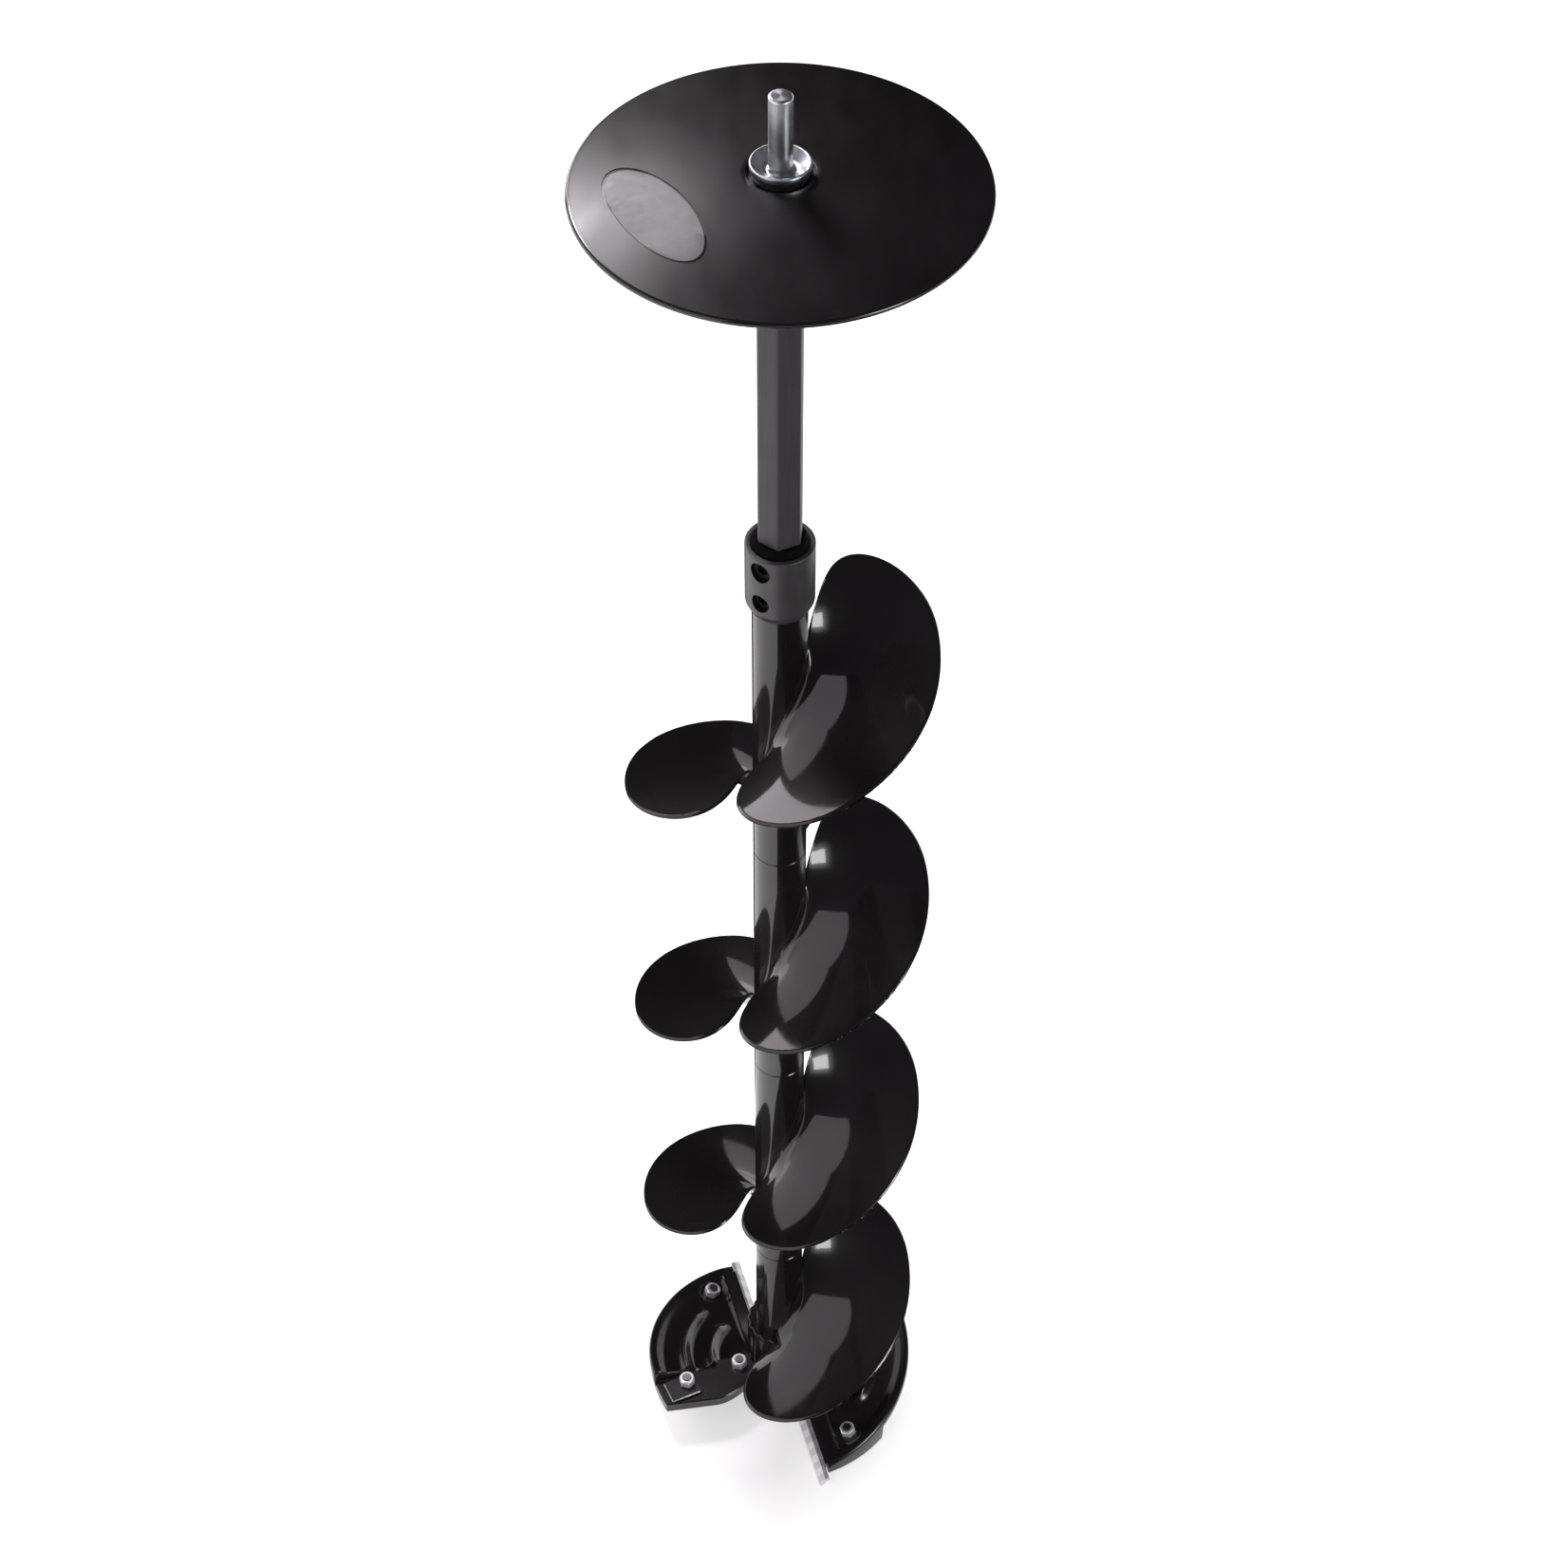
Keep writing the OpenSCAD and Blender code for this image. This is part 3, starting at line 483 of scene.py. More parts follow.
# Disc, shaft and coupler

def cut(obj, tool_shape, name):
    """Cuts a closed shape out of an object."""
    mesh = bpy.data.meshes.new(name)
    mesh.from_pydata([tuple(c * MM for c in v) for v in tool_shape.verts], [], tool_shape.faces)
    mesh.polygons.foreach_set("material_index", tool_shape.numbers)
    bm = bmesh.new()
    bm.from_mesh(mesh)
    bmesh.ops.remove_doubles(bm, verts=bm.verts, dist=0.001 * MM)
    bmesh.ops.recalc_face_normals(bm, faces=bm.faces)
    bm.to_mesh(mesh)
    bm.free()
    for material in obj.data.materials:
        mesh.materials.append(material)
    tool = bpy.data.objects.new(name, mesh)
    bpy.context.scene.collection.objects.link(tool)
    modifier = obj.modifiers.new(name, "BOOLEAN")
    modifier.operation = "DIFFERENCE"
    modifier.solver = "EXACT"
    modifier.object = tool
    bpy.context.view_layer.update()
    graph = bpy.context.evaluated_depsgraph_get()
    done = bpy.data.meshes.new_from_object(obj.evaluated_get(graph))
    obj.modifiers.clear()
    obj.data = done
    done.shade_smooth()
    done.set_sharp_from_angle(angle=math.radians(CRISP))
    bpy.data.objects.remove(tool)
    return obj


def make_disc(plain, field, rim):
    """Shallow dome with a rounded rim and a sunk oval field that is left bare."""
    rim_r = DISC_R - DISC_BEAD_R
    bead_z = DISC_TOP - DISC_RISE - DISC_BEAD_R

    def top(r):
        return DISC_TOP - DISC_RISE * np.clip((r - RECESS_R) / (rim_r - RECESS_R), 0, 1) ** DISC_DOME

    bead = [(rim_r + DISC_BEAD_R * math.cos(t), bead_z + DISC_BEAD_R * math.sin(t))
            for t in np.linspace(-math.pi / 2, math.pi / 2, 18)]
    spread = [(r, top(r)) for r in np.linspace(rim_r - 1.5, RECESS_R + 1.2, 40)]
    under = [(r, top(r) - DISC_T + DISC_THINNING * (r / rim_r) ** 4)
             for r in np.linspace(DISC_FLAT_R, rim_r - 1.5, 24)]
    recess = [(RECESS_R + 0.4, DISC_TOP - 0.2), (RECESS_R, DISC_TOP - 0.8),
              (RECESS_R, DISC_TOP - RECESS_DEPTH), (DISC_BORE_R, DISC_TOP - RECESS_DEPTH)]
    profile = [(DISC_BORE_R, DISC_BOTTOM), (DISC_FLAT_R, DISC_BOTTOM)] + under + bead + spread + recess
    shape = lathe(Shape(), profile, 256)
    radii = [math.hypot(x, y) for x, y, _ in shape.verts]
    shape.numbers = [2 if min(radii[i] for i in f) > rim_r - 0.3 else 0 for f in shape.faces]
    disc = finish_piece("disc_moulding", shape, [plain, field, rim], "disc", ["stop_disc"])
    angles = np.linspace(0, 2 * math.pi, 128, endpoint=False)
    spin, bearing = math.radians(OVAL_TURN), math.radians(OVAL_BEARING)

    def ring(share, depth):
        """Points of a smaller oval, at a depth below the dome."""
        u, v = OVAL_HALF[0] * share * np.cos(angles), OVAL_HALF[1] * share * np.sin(angles)
        u, v = OVAL_RADIUS + u * math.cos(spin) - v * math.sin(spin), u * math.sin(spin) + v * math.cos(spin)
        x, y = u * math.cos(bearing) - v * math.sin(bearing), u * math.sin(bearing) + v * math.cos(bearing)
        z = top(np.hypot(u, v)) - depth
        return list(zip(x, y, z))

    count = len(angles)
    rings = [ring(share, OVAL_DEPTH * 0.6) for share in (0.02, 0.25, 0.5, 0.75, 0.95)]
    rings += [ring(0.962, OVAL_DEPTH), ring(1.0, OVAL_DEPTH), ring(1.004, -5.0)]
    verts = [point for loop in rings for point in loop]
    tool = Shape()
    tool.add(rings[0], [tuple(range(count))[::-1]], 1)
    walls = {0: [tuple((len(rings) - 1) * count + k for k in range(count))], 1: []}
    for level in range(len(rings) - 1):
        for k in range(count):
            n = (k + 1) % count
            quad = (level * count + k, level * count + n, (level + 1) * count + n, (level + 1) * count + k)
            walls[1 if level < 4 else 0].append(quad)
    for number, faces in walls.items():
        tool.add(verts, faces, number)
    return cut(disc, tool, "oval_cut")


def hexagon(across, bearing, radius):
    corners = [(across / math.sqrt(3) * math.cos(math.radians(bearing + 60 * k)),
                across / math.sqrt(3) * math.sin(math.radians(bearing + 60 * k))) for k in range(6)]
    return rounded(corners, [radius] * 6, 6)


def make_drive_tube(material):
    shape = prism(Shape(), hexagon(HEX_AF, HEX_BEARING, 1.6), DRIVE_BOTTOM, DRIVE_TOP, 0.4)
    return finish_piece("drive_tube", shape, [material], "drive", ["drive_shaft"], sharp=CRISP)


def make_coupler(coat, hole_wall_shade):
    """Steel sleeve with a bevelled foot, a seat for the dust seal and two radial screw holes, whose walls are painted
    near black as painted shade inside the holes.
    """
    points = [(COUPLER_BORE_R, COUPLER_BOTTOM), (COUPLER_R - 2.6, COUPLER_BOTTOM), (COUPLER_R, COUPLER_BOTTOM + 5.5),
              (COUPLER_R, COUPLER_TOP), (SEAL_SEAT_R, COUPLER_TOP), (SEAL_SEAT_R, COUPLER_TOP - 2),
              (COUPLER_BORE_R, COUPLER_TOP - 2)]
    shape = lathe(Shape(), rounded(points, [0, 0.5, 1.0, 0.8, 0.2, 0, 0]), 192)
    sleeve = finish_piece("coupler_sleeve", shape, [coat, hole_wall_shade], "auger", ["coupler"], sharp=CRISP)
    for z, radius in SCREW_HOLES:
        count = 64
        rings = [(radius, 10.0), (radius, COUPLER_R - 0.9), (radius + 0.5, COUPLER_R + 0.3), (radius + 0.5, 24.0)]
        turn = [2 * math.pi * k / count for k in range(count)]
        local = [(out, r * math.cos(t), r * math.sin(t)) for r, out in rings for t in turn]
        faces = [tuple(range(count)), tuple(3 * count + k for k in range(count))]
        for level in range(3):
            for k in range(count):
                n = (k + 1) % count
                faces.append((level * count + k, level * count + n, (level + 1) * count + n, (level + 1) * count + k))
        # The hole walls take the second material, near-black paint that stands in for the shade inside the hole
        tool = Shape().add(turned(local, SCREW_BEARING, z), faces, 1)
        cut(sleeve, tool, "screw_hole")
    return sleeve


def make_plates(face, edge):
    """Plates under the outer tail nuts, each reaching from its nut out towards the rim."""
    for name, turn in (("rear_tail_plate", 0), ("front_tail_plate", 180)):
        (x0, x1), (y0, y1) = PLATE_SPAN
        outline = rounded([(x0, y0), (x1, y0), (x1, y1), (x0, y1)], [0.8] * 4, 4)
        flat = prism(Shape(), outline, PAD_TOP, PAD_TOP + PLATE_T, 0.5, 0, 1)
        bearing = WING_BEARING + turn + RAMP_SWEEP + TAIL_ANGLE
        shape = Shape()
        shape.verts, shape.faces, shape.numbers = turned(flat.verts, bearing), flat.faces, flat.numbers
        nodes = ["square_plates"] if turn else []
        plate = finish_piece(name, shape, [face, edge], "auger", nodes, sharp=CRISP)
        circle = [(TAIL_OUTER_R + PLATE_HOLE_R * math.cos(a), PLATE_HOLE_R * math.sin(a))
                  for a in np.linspace(0, 2 * math.pi, 48, False)]
        bolt = prism(Shape(), circle, PAD_TOP - 5, PAD_TOP + PLATE_T + 5)
        cut(plate, Shape().add(turned(bolt.verts, bearing), bolt.faces, 0), "bolt_hole")


def make_adapter(material):
    """Turned chuck shank with a dished flange, its journal and stem."""
    points = [(0, 1036), (6.35, 1036), (6.35, 1066), (10, 1066), (10, 1073.5), (14.1, 1073.5), (16.0, 1078.5),
              (16.0, 1082), (14.6, 1082), (9.4, 1077.2), (6.35, 1077.2), (6.35, 1121), (5.35, 1122), (0, 1122)]
    radii = [0, 0.6, 0, 0.4, 0, 1.0, 1.6, 0.9, 0.7, 3.0, 1.2, 0.35, 0.35, 0]
    shape = lathe(Shape(), rounded(points, radii), 128)
    return finish_piece("adapter_turned", shape, [material], "drive", ["drill_adapter"], sharp=50)


# Materials

class Nodes:
    """Short way to build a node material round one Principled shader."""

    def __init__(self, name):
        self.material = bpy.data.materials.new(name)
        self.material.use_nodes = True
        self.tree = self.material.node_tree
        self.shader = self.tree.nodes["Principled BSDF"]
        self.place = self.tree.nodes.new("ShaderNodeTexCoord").outputs["Object"]

    def node(self, kind, inputs=None, **settings):
        made = self.tree.nodes.new(kind)
        for key, value in settings.items():
            setattr(made, key, value)
        for key, value in (inputs or {}).items():
            self.put(made.inputs[key], value)
        return made

    def put(self, socket, value):
        if isinstance(value, bpy.types.NodeSocket):
            self.tree.links.new(value, socket)
        else:
            socket.default_value = value

    def noise(self, scale, detail=3.0, roughness=0.5, vector=None):
        inputs = {"Vector": vector or self.place, "Scale": scale, "Detail": detail, "Roughness": roughness}
        return self.node("ShaderNodeTexNoise", inputs).outputs["Fac"]

    def stretch(self, x, y, z, turn=0.0):
        inputs = {"Vector": self.place, "Scale": (x, y, z), "Rotation": (0, 0, math.radians(turn))}
        return self.node("ShaderNodeMapping", inputs).outputs["Vector"]

    def span(self, value, low, high, start=0.3, end=0.7):
        inputs = {"Value": value, "From Min": start, "From Max": end, "To Min": low, "To Max": high}
        return self.node("ShaderNodeMapRange", inputs, clamp=True).outputs["Result"]

    def blend(self, factor, a, b):
        made = self.node("ShaderNodeMix", data_type="RGBA")
        self.put(made.inputs["Factor"], factor)
        self.put(made.inputs["A"], (*a, 1) if isinstance(a, tuple) else a)
        self.put(made.inputs["B"], (*b, 1) if isinstance(b, tuple) else b)
        return made.outputs["Result"]

    def bump(self, height, distance, strength=1.0, normal=None):
        inputs = {"Height": height, "Distance": distance * MM, "Strength": strength}
        if normal is not None:
            inputs["Normal"] = normal
        return self.node("ShaderNodeBump", inputs).outputs["Normal"]

    def surface(self, **inputs):
        names = {"color": "Base Color", "rough": "Roughness", "metal": "Metallic", "normal": "Normal",
                 "level": "Specular IOR Level", "brushed": "Anisotropic", "tangent": "Tangent",
                 "coat": "Coat Weight", "coat_rough": "Coat Roughness"}
        for key, value in inputs.items():
            self.put(self.shader.inputs[names[key]], value)
        return self.material


def gloss_plastic(name, rough_low, rough_high, wave):
    """Black moulded plastic: glossy, faintly wavy, with light handling scuffs."""
    n = Nodes(name)
    cloud = n.noise(9.0, 3.0)
    scuff = n.noise(1.0, 5.0, 0.65, n.stretch(260, 260, 40))
    shade = n.blend(n.span(cloud, 0, 1), (0.0072, 0.006, 0.0068), (0.0102, 0.0086, 0.0096))
    haze = n.span(n.noise(22.0, 4.0, 0.62), 0.0, 0.09, 0.56, 0.8)
    rough = n.node("ShaderNodeMath", {0: n.span(scuff, rough_low, rough_high, 0.45, 0.75), 1: haze},
                   operation="ADD").outputs[0]
    skin = n.bump(n.noise(1400.0, 2.0), 0.0012, 0.25)
    sink = n.bump(n.noise(14.0, 1.0), wave, 1.0, skin)
    return n.surface(color=shade, rough=rough, normal=sink, coat=n.span(cloud, 0.04, 0.32), coat_rough=0.4)


def satin_plastic(name):
    """Satin black disc with smudges and a fine moulded grain."""
    n = Nodes(name)
    smudge = n.noise(16.0, 4.0, 0.6)
    grain = n.noise(2600.0, 2.0)
    rubbed = n.noise(1.0, 4.0, 0.6, n.stretch(60, 20, 40, 30))
    shade = n.blend(n.span(smudge, 0, 1), (0.0042, 0.0031, 0.0039), (0.0072, 0.0057, 0.0067))
    rough = n.span(rubbed, 0.28, 0.36)
    normal = n.bump(grain, 0.008, 0.3, n.bump(n.noise(9.0, 0.0), 0.25))
    return n.surface(color=shade, rough=rough, normal=normal)


def field_plastic(name):
    """Matte grey floor of the oval field."""
    n = Nodes(name)
    shade = n.blend(n.span(n.noise(38.0, 4.0, 0.6), 0, 1), (0.2, 0.197, 0.2), (0.28, 0.276, 0.28))
    normal = n.bump(n.noise(1800.0, 3.0), 0.03, 0.6)
    return n.surface(color=shade, rough=n.span(n.noise(300.0), 0.45, 0.6), normal=normal)


def powder_coat(name, dark, light, level):
    """Satin coating on steel: fine orange peel and faint vertical rubbing."""
    n = Nodes(name)
    rub = n.noise(1.0, 5.0, 0.6, n.stretch(240, 240, 14))
    shade = n.blend(n.span(rub, 0, 1), dark, light)
    peel = n.bump(n.noise(900.0, 2.0), 0.02, 0.35)
    return n.surface(color=shade, rough=n.span(n.noise(70.0, 4.0), 0.34, 0.46), normal=peel, level=level)


def zinc(name):
    """Bright zinc plate with turning marks and dull blotches."""
    n = Nodes(name)
    blotch = n.noise(120.0, 4.0, 0.6)
    lines = n.noise(1.0, 3.0, 0.6, n.stretch(90, 90, 2600))
    shade = n.blend(n.span(blotch, 0, 1), (0.74, 0.745, 0.76), (0.88, 0.88, 0.89))
    normal = n.bump(lines, 0.006, 0.4)
    return n.surface(color=shade, metal=0.5, rough=n.span(blotch, 0.28, 0.42), normal=normal)


def turned_zinc(name):
    """Zinc plate over turned steel, whose fine rings stretch every highlight along the axis."""
    n = Nodes(name)
    blotch = n.noise(90.0, 4.0, 0.6)
    rings = n.noise(1.0, 3.0, 0.6, n.stretch(60, 60, 2600))
    shade = n.blend(n.span(blotch, 0, 1), (0.56, 0.58, 0.62), (0.78, 0.8, 0.84))
    around = n.node("ShaderNodeTangent", direction_type="RADIAL", axis="Z").outputs["Tangent"]
    return n.surface(color=shade, metal=1.0, rough=n.span(blotch, 0.28, 0.35), normal=n.bump(rings, 0.006, 0.4),
                     brushed=0.5, tangent=around)


def plain_steel(name, dark, light):
    """Machined steel with short grinding scratches."""
    n = Nodes(name)
    scratch = n.noise(1.0, 4.0, 0.7, n.stretch(900, 120, 300, 20))
    shade = n.blend(n.span(scratch, 0, 1), dark, light)
    normal = n.bump(scratch, 0.006, 0.5)
    return n.surface(color=shade, metal=1.0, rough=n.span(n.noise(60.0), 0.28, 0.42), normal=normal)


def ground_blade(name, turn):
    """Ground blade steel: scratches square to the edge, and every other band across it painted darker, as painted
    shade of an edge cut in steps that catches the light in turns.
    """
    n = Nodes(name)
    local = n.stretch(1, 1, 1, -turn)
    scratch = n.noise(1.0, 4.0, 0.7, n.node("ShaderNodeMapping", {"Vector": local, "Scale": (1500, 60, 60)})
                      .outputs["Vector"])
    split = n.node("ShaderNodeSeparateXYZ", {"Vector": local})
    # Bands 11 mm apart along the blade; half of each is painted darker, as painted shade of one step of the edge
    along = n.node("ShaderNodeMath", {0: split.outputs["X"], 1: 1 / 0.011}, operation="MULTIPLY")
    tooth = n.node("ShaderNodeMath", {0: along.outputs[0]}, operation="FRACT")
    step_band_mask = n.span(tooth.outputs[0], 0, 1, 0.48, 0.52)
    shade = n.blend(n.span(scratch, 0, 1), (0.68, 0.68, 0.685), (0.86, 0.86, 0.865))
    step_band_shade = n.blend(n.span(step_band_mask, 0, 0.45, 0, 1), shade, (0.4, 0.4, 0.41))
    normal = n.bump(scratch, 0.006, 0.5)
    return n.surface(color=step_band_shade, metal=0.55, rough=n.span(scratch, 0.34, 0.48), normal=normal)


def rubber(name):
    n = Nodes(name)
    shade = n.blend(n.span(n.noise(90.0, 4.0), 0, 1), (0.002, 0.002, 0.002), (0.005, 0.005, 0.005))
    normal = n.bump(n.noise(1600.0, 2.0), 0.02, 0.4)
    return n.surface(color=shade, rough=n.span(n.noise(200.0), 0.6, 0.8), normal=normal, level=0.03)


def black_oxide(name):
    n = Nodes(name)
    shade = n.blend(n.span(n.noise(300.0, 3.0), 0, 1), (0.002, 0.002, 0.0022), (0.005, 0.005, 0.0052))
    normal = n.bump(n.noise(900.0), 0.01, 0.4)
    return n.surface(color=shade, rough=n.span(n.noise(500.0), 0.5, 0.7), normal=normal, level=0.15)


def worn_plate(name):
    """Blackened steel with a coarse grain."""
    n = Nodes(name)
    grain = n.noise(700.0, 4.0, 0.7)
    shade = n.blend(n.span(grain, 0, 1), (0.006, 0.006, 0.0065), (0.04, 0.04, 0.041))
    return n.surface(color=shade, metal=0.6, rough=n.span(grain, 0.35, 0.6), normal=n.bump(grain, 0.03, 0.8))


flight_black = gloss_plastic("flight_black", 0.055, 0.11, 0.35)
head_black = gloss_plastic("head_black", 0.06, 0.12, 0.25)
wing_black = gloss_plastic("wing_black", 0.16, 0.18, 0.1)
disc_black = satin_plastic("disc_black")
field_grey = field_plastic("field_grey")
rim_black = gloss_plastic("rim_black", 0.1, 0.18, 0.05)
shaft_coat = powder_coat("shaft_coat", (0.042, 0.039, 0.042), (0.056, 0.053, 0.056), 0.28)
coupler_coat = powder_coat("coupler_coat", (0.033, 0.031, 0.033), (0.047, 0.045, 0.047), 0.5)
zinc_plate = zinc("zinc_plate")
zinc_turned = turned_zinc("zinc_turned")
bolt_dark = plain_steel("bolt_dark", (0.1, 0.1, 0.105), (0.22, 0.22, 0.225))
machined = plain_steel("machined_steel", (0.32, 0.32, 0.33), (0.5, 0.5, 0.51))
blade_materials = {"rear_blade": ground_blade("rear_blade_steel", WING_BEARING),
                   "front_blade": ground_blade("front_blade_steel", WING_BEARING + 180)}
seal_black = rubber("seal_black")
# Black oxide of the set screws; the same near-black material paints shade on the walls of the coupler's screw holes
black_oxide_and_hole_shade = black_oxide("black_oxide_and_hole_shade")
plate_dark = worn_plate("plate_dark")
plate_edge = plain_steel("plate_edge", (0.14, 0.14, 0.145), (0.5, 0.5, 0.51))

for flight in FLIGHT_FEET:
    make_flight(flight, flight_black)
make_head(head_black, wing_black)
make_disc(disc_black, field_grey, rim_black)
make_drive_tube(shaft_coat)
make_coupler(coupler_coat, black_oxide_and_hole_shade)
make_adapter(zinc_turned)
make_plates(plate_dark, plate_edge)

CAD_MATERIALS = {
    "disc_washer": zinc_plate, "shaft_plug": machined, "lock_pin": zinc_plate,
    "dust_seal": seal_black, "upper_set_screw": black_oxide_and_hole_shade, "lower_set_screw": black_oxide_and_hole_shade,
    "core_shaft": shaft_coat, "core_plug": machined, "blade_bolts": bolt_dark, "blade_nuts": zinc_plate,
    "blade_screws": zinc_plate, "rear_heel_strap": machined, "front_heel_strap": machined,
    "tail_bolts": bolt_dark, "tail_nuts": zinc_plate, "head_bolt": zinc_plate,
    "head_washer": zinc_plate, **blade_materials,
}
BEVELS = {"tail_nuts": 0.5, "blade_nuts": 0.5}


def dress(node, material, bevel):
    """Gives a CAD node its material and a fine bevel."""
    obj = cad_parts[node]
    obj.data.materials.clear()
    obj.data.materials.append(material)
    weld = obj.modifiers.new("weld", "WELD")
    weld.merge_threshold = 0.002 * MM
    edge = obj.modifiers.new("edge", "BEVEL")
    edge.width = bevel * MM
    edge.segments = 2
    edge.limit_method = "ANGLE"
    edge.angle_limit = math.radians(40)
    edge.harden_normals = True


for node, material in CAD_MATERIALS.items():
    dress(node, material, BEVELS.get(node, 0.35))


# Floor, light and camera, in metres

FLOOR_SIZE = 30
FLOOR_DROP = 0.0005
# Lift at the middle of a shadow painted on the floor and far from it, and the two distances from that middle; the
# lower lift there paints the shadow
FLOOR_LIFT = (0.34, 0.95)
PAINTED_SHADOW_REACH = (0.03, 0.18)
PAINTED_SHADOW_MIDDLE = (-0.02, -0.06, 0)
WARM = (1.0, 0.945, 0.98)
FLAG_FOOT = 0.001


def make_floor():
    """White floor that keeps shadows. Camera, glossy and transmission rays see a lift that makes it white, except
    round a point just in front of the part, where a lower lift paints a shadow.
    """
    bpy.ops.mesh.primitive_plane_add(size=FLOOR_SIZE, location=(0, 0, cad_low.z - FLOOR_DROP))
    floor = bpy.context.object
    floor.name = "floor"
    material = bpy.data.materials.new("floor_white")
    material.use_nodes = True
    tree = material.node_tree
    tree.nodes.clear()
    out = tree.nodes.new("ShaderNodeOutputMaterial")
    both = tree.nodes.new("ShaderNodeAddShader")
    paper = tree.nodes.new("ShaderNodeBsdfDiffuse")
    paper.inputs["Color"].default_value = (0.86, 0.86, 0.86, 1)
    lift = tree.nodes.new("ShaderNodeEmission")
    path = tree.nodes.new("ShaderNodeLightPath")
    seen = tree.nodes.new("ShaderNodeMath")
    seen.operation = "MAXIMUM"
    seen_too = tree.nodes.new("ShaderNodeMath")
    seen_too.operation = "MAXIMUM"
    scaled = tree.nodes.new("ShaderNodeMath")
    scaled.operation = "MULTIPLY"
    place = tree.nodes.new("ShaderNodeTexCoord")
    # Distance from the middle of the painted shadow: the lift is lower near it, which paints a shadow on the floor
    # there
    away = tree.nodes.new("ShaderNodeVectorMath")
    away.operation = "DISTANCE"
    away.inputs[1].default_value = PAINTED_SHADOW_MIDDLE
    reach = tree.nodes.new("ShaderNodeMapRange")
    for key, value in zip(("From Min", "From Max", "To Min", "To Max"), (*PAINTED_SHADOW_REACH, *FLOOR_LIFT)):
        reach.inputs[key].default_value = value
    link = tree.links.new
    link(place.outputs["Object"], away.inputs[0])
    link(away.outputs["Value"], reach.inputs["Value"])
    link(reach.outputs["Result"], scaled.inputs[1])
    link(path.outputs["Is Camera Ray"], seen.inputs[0])
    link(path.outputs["Is Glossy Ray"], seen.inputs[1])
    link(seen.outputs[0], seen_too.inputs[0])
    link(path.outputs["Is Transmission Ray"], seen_too.inputs[1])
    link(seen_too.outputs[0], scaled.inputs[0])
    link(scaled.outputs[0], lift.inputs["Strength"])
    link(paper.outputs[0], both.inputs[0])
    link(lift.outputs[0], both.inputs[1])
    link(both.outputs[0], out.inputs["Surface"])
    floor.data.materials.append(material)


def direction(azimuth, elevation):
    """Unit vector, azimuth 0 towards +Y and 90 towards +X."""
    a, e = math.radians(azimuth), math.radians(elevation)
    return Vector((math.sin(a) * math.cos(e), math.cos(a) * math.cos(e), math.sin(e)))


def panel(name, centre, width, height, radiance, target, tint=(1, 1, 1)):
    """Rectangular soft light of an even brightness that faces the target and stays upright."""
    light = bpy.data.lights.new(name, "AREA")
    light.color = tint
    light.shape = "RECTANGLE"
    light.size = width
    light.size_y = height
    light.energy = radiance * math.pi * width * height
    obj = bpy.data.objects.new(name, light)
    bpy.context.scene.collection.objects.link(obj)
    obj.location = centre
    obj.rotation_mode = "QUATERNION"
    obj.rotation_quaternion = (target - centre).to_track_quat("-Z", "Y")
    obj.visible_camera = False
    return light


def soften(light, edge):
    """Lets a panel fade towards its borders over the given share of its size."""
    light.use_nodes = True
    tree = light.node_tree
    place = tree.nodes.new("ShaderNodeNewGeometry").outputs["Parametric"]
    split = tree.nodes.new("ShaderNodeSeparateXYZ")
    tree.links.new(place, split.inputs[0])
    both = tree.nodes.new("ShaderNodeMath")
    both.operation = "MULTIPLY"
    for k in (0, 1):
        fold = tree.nodes.new("ShaderNodeMath")
        fold.operation = "PINGPONG"
        fold.inputs[1].default_value = 0.5
        tree.links.new(split.outputs[k], fold.inputs[0])
        fade = tree.nodes.new("ShaderNodeMapRange")
        fade.interpolation_type = "SMOOTHSTEP"
        fade.inputs["From Max"].default_value = edge
        tree.links.new(fold.outputs[0], fade.inputs["Value"])
        tree.links.new(fade.outputs["Result"], both.inputs[k])
    tree.links.new(both.outputs[0], tree.nodes["Emission"].inputs["Strength"])


def flag(name, corners):
    """Black card beside the set. Only glossy reflections see it."""
    mesh = bpy.data.meshes.new(name)
    mesh.from_pydata(corners, [], [(0, 1, 2, 3)])
    material = bpy.data.materials.new(name)
    material.use_nodes = True
    shader = material.node_tree.nodes["Principled BSDF"]
    shader.inputs["Base Color"].default_value = (0.01, 0.01, 0.01, 1)
    shader.inputs["Specular IOR Level"].default_value = 0.0
    shader.inputs["Roughness"].default_value = 1.0
    mesh.materials.append(material)
    obj = bpy.data.objects.new(name, mesh)
    bpy.context.scene.collection.objects.link(obj)
    for kind in ("camera", "diffuse", "shadow", "transmission", "volume_scatter"):
        setattr(obj, "visible_" + kind, False)


def floor_flag(name, corners):
    flag(name, [(x, y, FLAG_FOOT) for x, y in corners])


def upright_panel(name, azimuth, distance, width, low, high, radiance):
    """Wall of light that stands square to the axis between two heights."""
    foot = direction(azimuth, 0) * distance
    centre = Vector((foot.x, foot.y, (low + high) / 2))
    panel(name, centre, width, high - low, radiance, Vector((0, 0, centre.z)), WARM)


def brow_flag(name, azimuth, distance, half, left_z, right_z, top_z=5.0):
    """Card that cuts the top of a wall of light along a slant."""
    foot, along = direction(azimuth, 0) * distance, direction(azimuth + 90, 0) * half
    left, right = foot - along, foot + along
    flag(name, [(left.x, left.y, left_z), (right.x, right.y, right_z),
                (right.x, right.y, top_z), (left.x, left.y, top_z)])


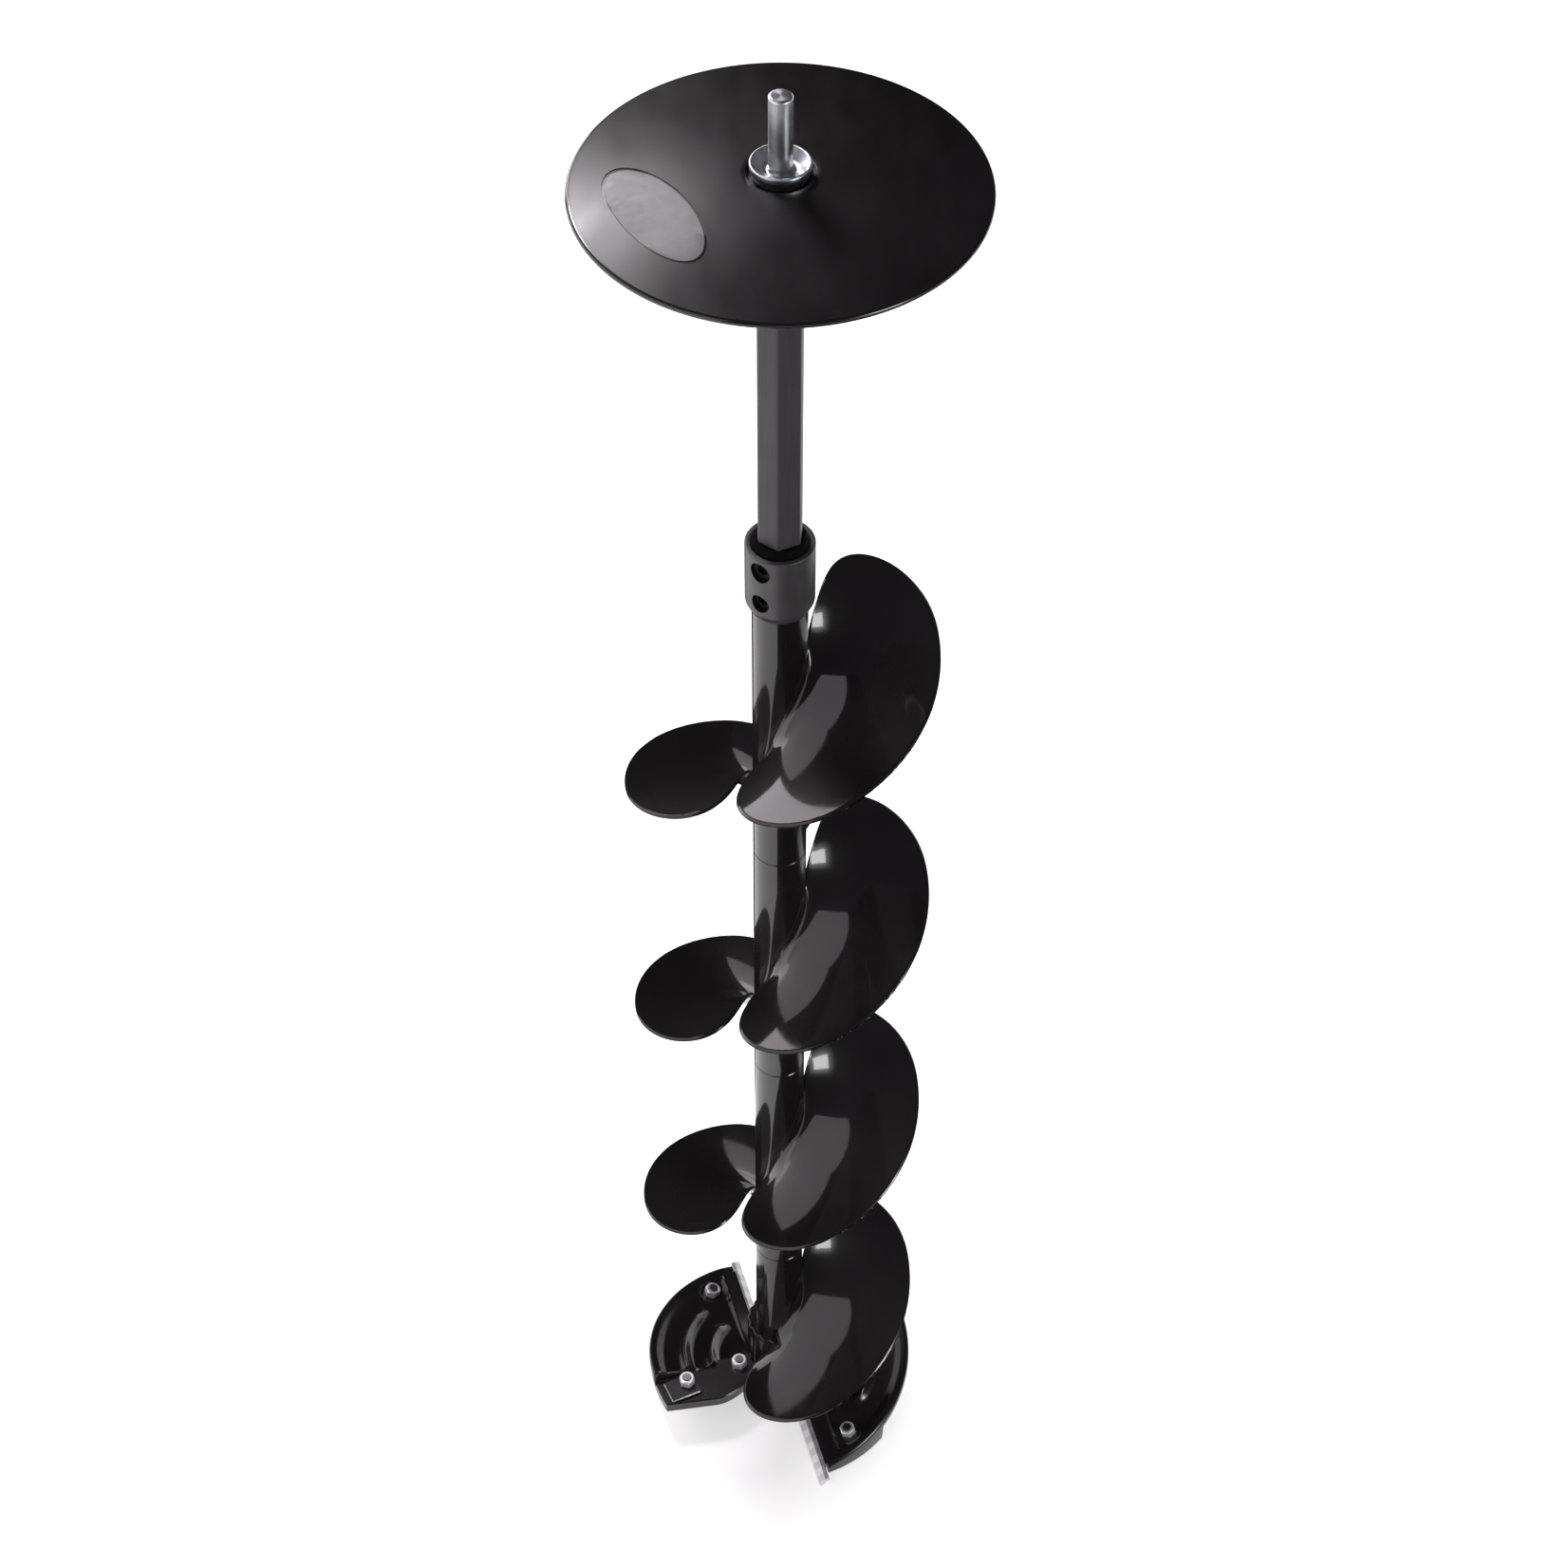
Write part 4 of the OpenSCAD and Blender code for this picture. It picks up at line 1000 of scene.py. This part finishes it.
make_floor()
upright_panel("left_front_wall", -120, 2.0, 2.5, 0.02, 3.9, 1.25)
upright_panel("left_back_wall", -65.5, 2.0, 1.66, 0.02, 2.5, 1.25)
upright_panel("right_back_wall", 42, 2.2, 1.6, 0.02, 1.05, 1.0)
upright_panel("back_card", -36, 0.78, 0.3, 0.92, 1.75, 4.5)
middle = Vector((0, 0, 0.55))
soften(panel("key", middle + direction(129, 24) * 2.3, 1.5, 1.6, 4.2, middle), 0.4)
panel("key_core", middle + direction(129, 25) * 2.2, 0.62, 0.75, 9.0, middle)
disc_middle = Vector((0, 0, 1.07))
soften(panel("disc_light", disc_middle + direction(-28, 36.5) * 1.5, 0.62, 0.55, 39.0, disc_middle, WARM), 0.45)
brow_flag("front_brow", -120, 1.94, 1.3, 3.9, 2.6)
brow_flag("back_brow", -65.5, 1.94, 0.87, 2.5, 1.5)
flag("back_flag", [(-0.93, 0.8, FLAG_FOOT), (0.3, 0.8, FLAG_FOOT), (0.3, 0.8, 1.7), (-0.93, 0.8, 1.7)])
floor_flag("right_flag", [(0.34, 0.07), (2.15, 0.46), (2.16, -2.08), (0.25, -0.24)])
floor_flag("front_flag", [(0.25, -0.24), (2.16, -2.08), (-0.38, -2.17), (-0.06, -0.34)])
floor_flag("back_floor_flag", [(-0.2, 0.24), (0.12, 0.24), (0.3, 0.8), (-0.66, 0.8)])

world = bpy.data.worlds.new("studio")
bpy.context.scene.world = world
world.use_nodes = True
back = world.node_tree.nodes["Background"]
path = world.node_tree.nodes.new("ShaderNodeLightPath")
shade = world.node_tree.nodes.new("ShaderNodeMix")
shade.data_type = "RGBA"
shade.inputs["A"].default_value = (0.05, 0.05, 0.0525, 1)
shade.inputs["B"].default_value = (1, 1, 1, 1)
world.node_tree.links.new(path.outputs["Is Camera Ray"], shade.inputs["Factor"])
world.node_tree.links.new(shade.outputs["Result"], back.inputs["Color"])

# Camera fitted to the photograph, whose frame is 1652 pixels square
FRAME_PX = 1652
FOCAL_PX = 3605.87
PITCH_DOWN = 46.814
YAW = 0.104
ROLL = 0.160
CAMERA_AT = Vector((0.0, -1.3991, 2.1174))


def make_camera():
    pitch, yaw, roll = (math.radians(a) for a in (PITCH_DOWN, YAW, ROLL))
    ahead = Vector((math.sin(yaw) * math.cos(pitch), math.cos(yaw) * math.cos(pitch), -math.sin(pitch)))
    right = Vector((math.cos(yaw), -math.sin(yaw), 0))
    up = right.cross(ahead)
    right, up = (math.cos(roll) * right + math.sin(roll) * up, -math.sin(roll) * right + math.cos(roll) * up)
    data = bpy.data.cameras.new("camera")
    data.sensor_width = 36
    data.lens = FOCAL_PX / FRAME_PX * data.sensor_width
    camera = bpy.data.objects.new("camera", data)
    bpy.context.scene.collection.objects.link(camera)
    camera.matrix_world = Matrix(((right.x, up.x, -ahead.x, CAMERA_AT.x), (right.y, up.y, -ahead.y, CAMERA_AT.y),
                                  (right.z, up.z, -ahead.z, CAMERA_AT.z), (0, 0, 0, 1)))
    bpy.context.scene.camera = camera


make_camera()
bpy.context.scene.view_settings.view_transform = "Standard"
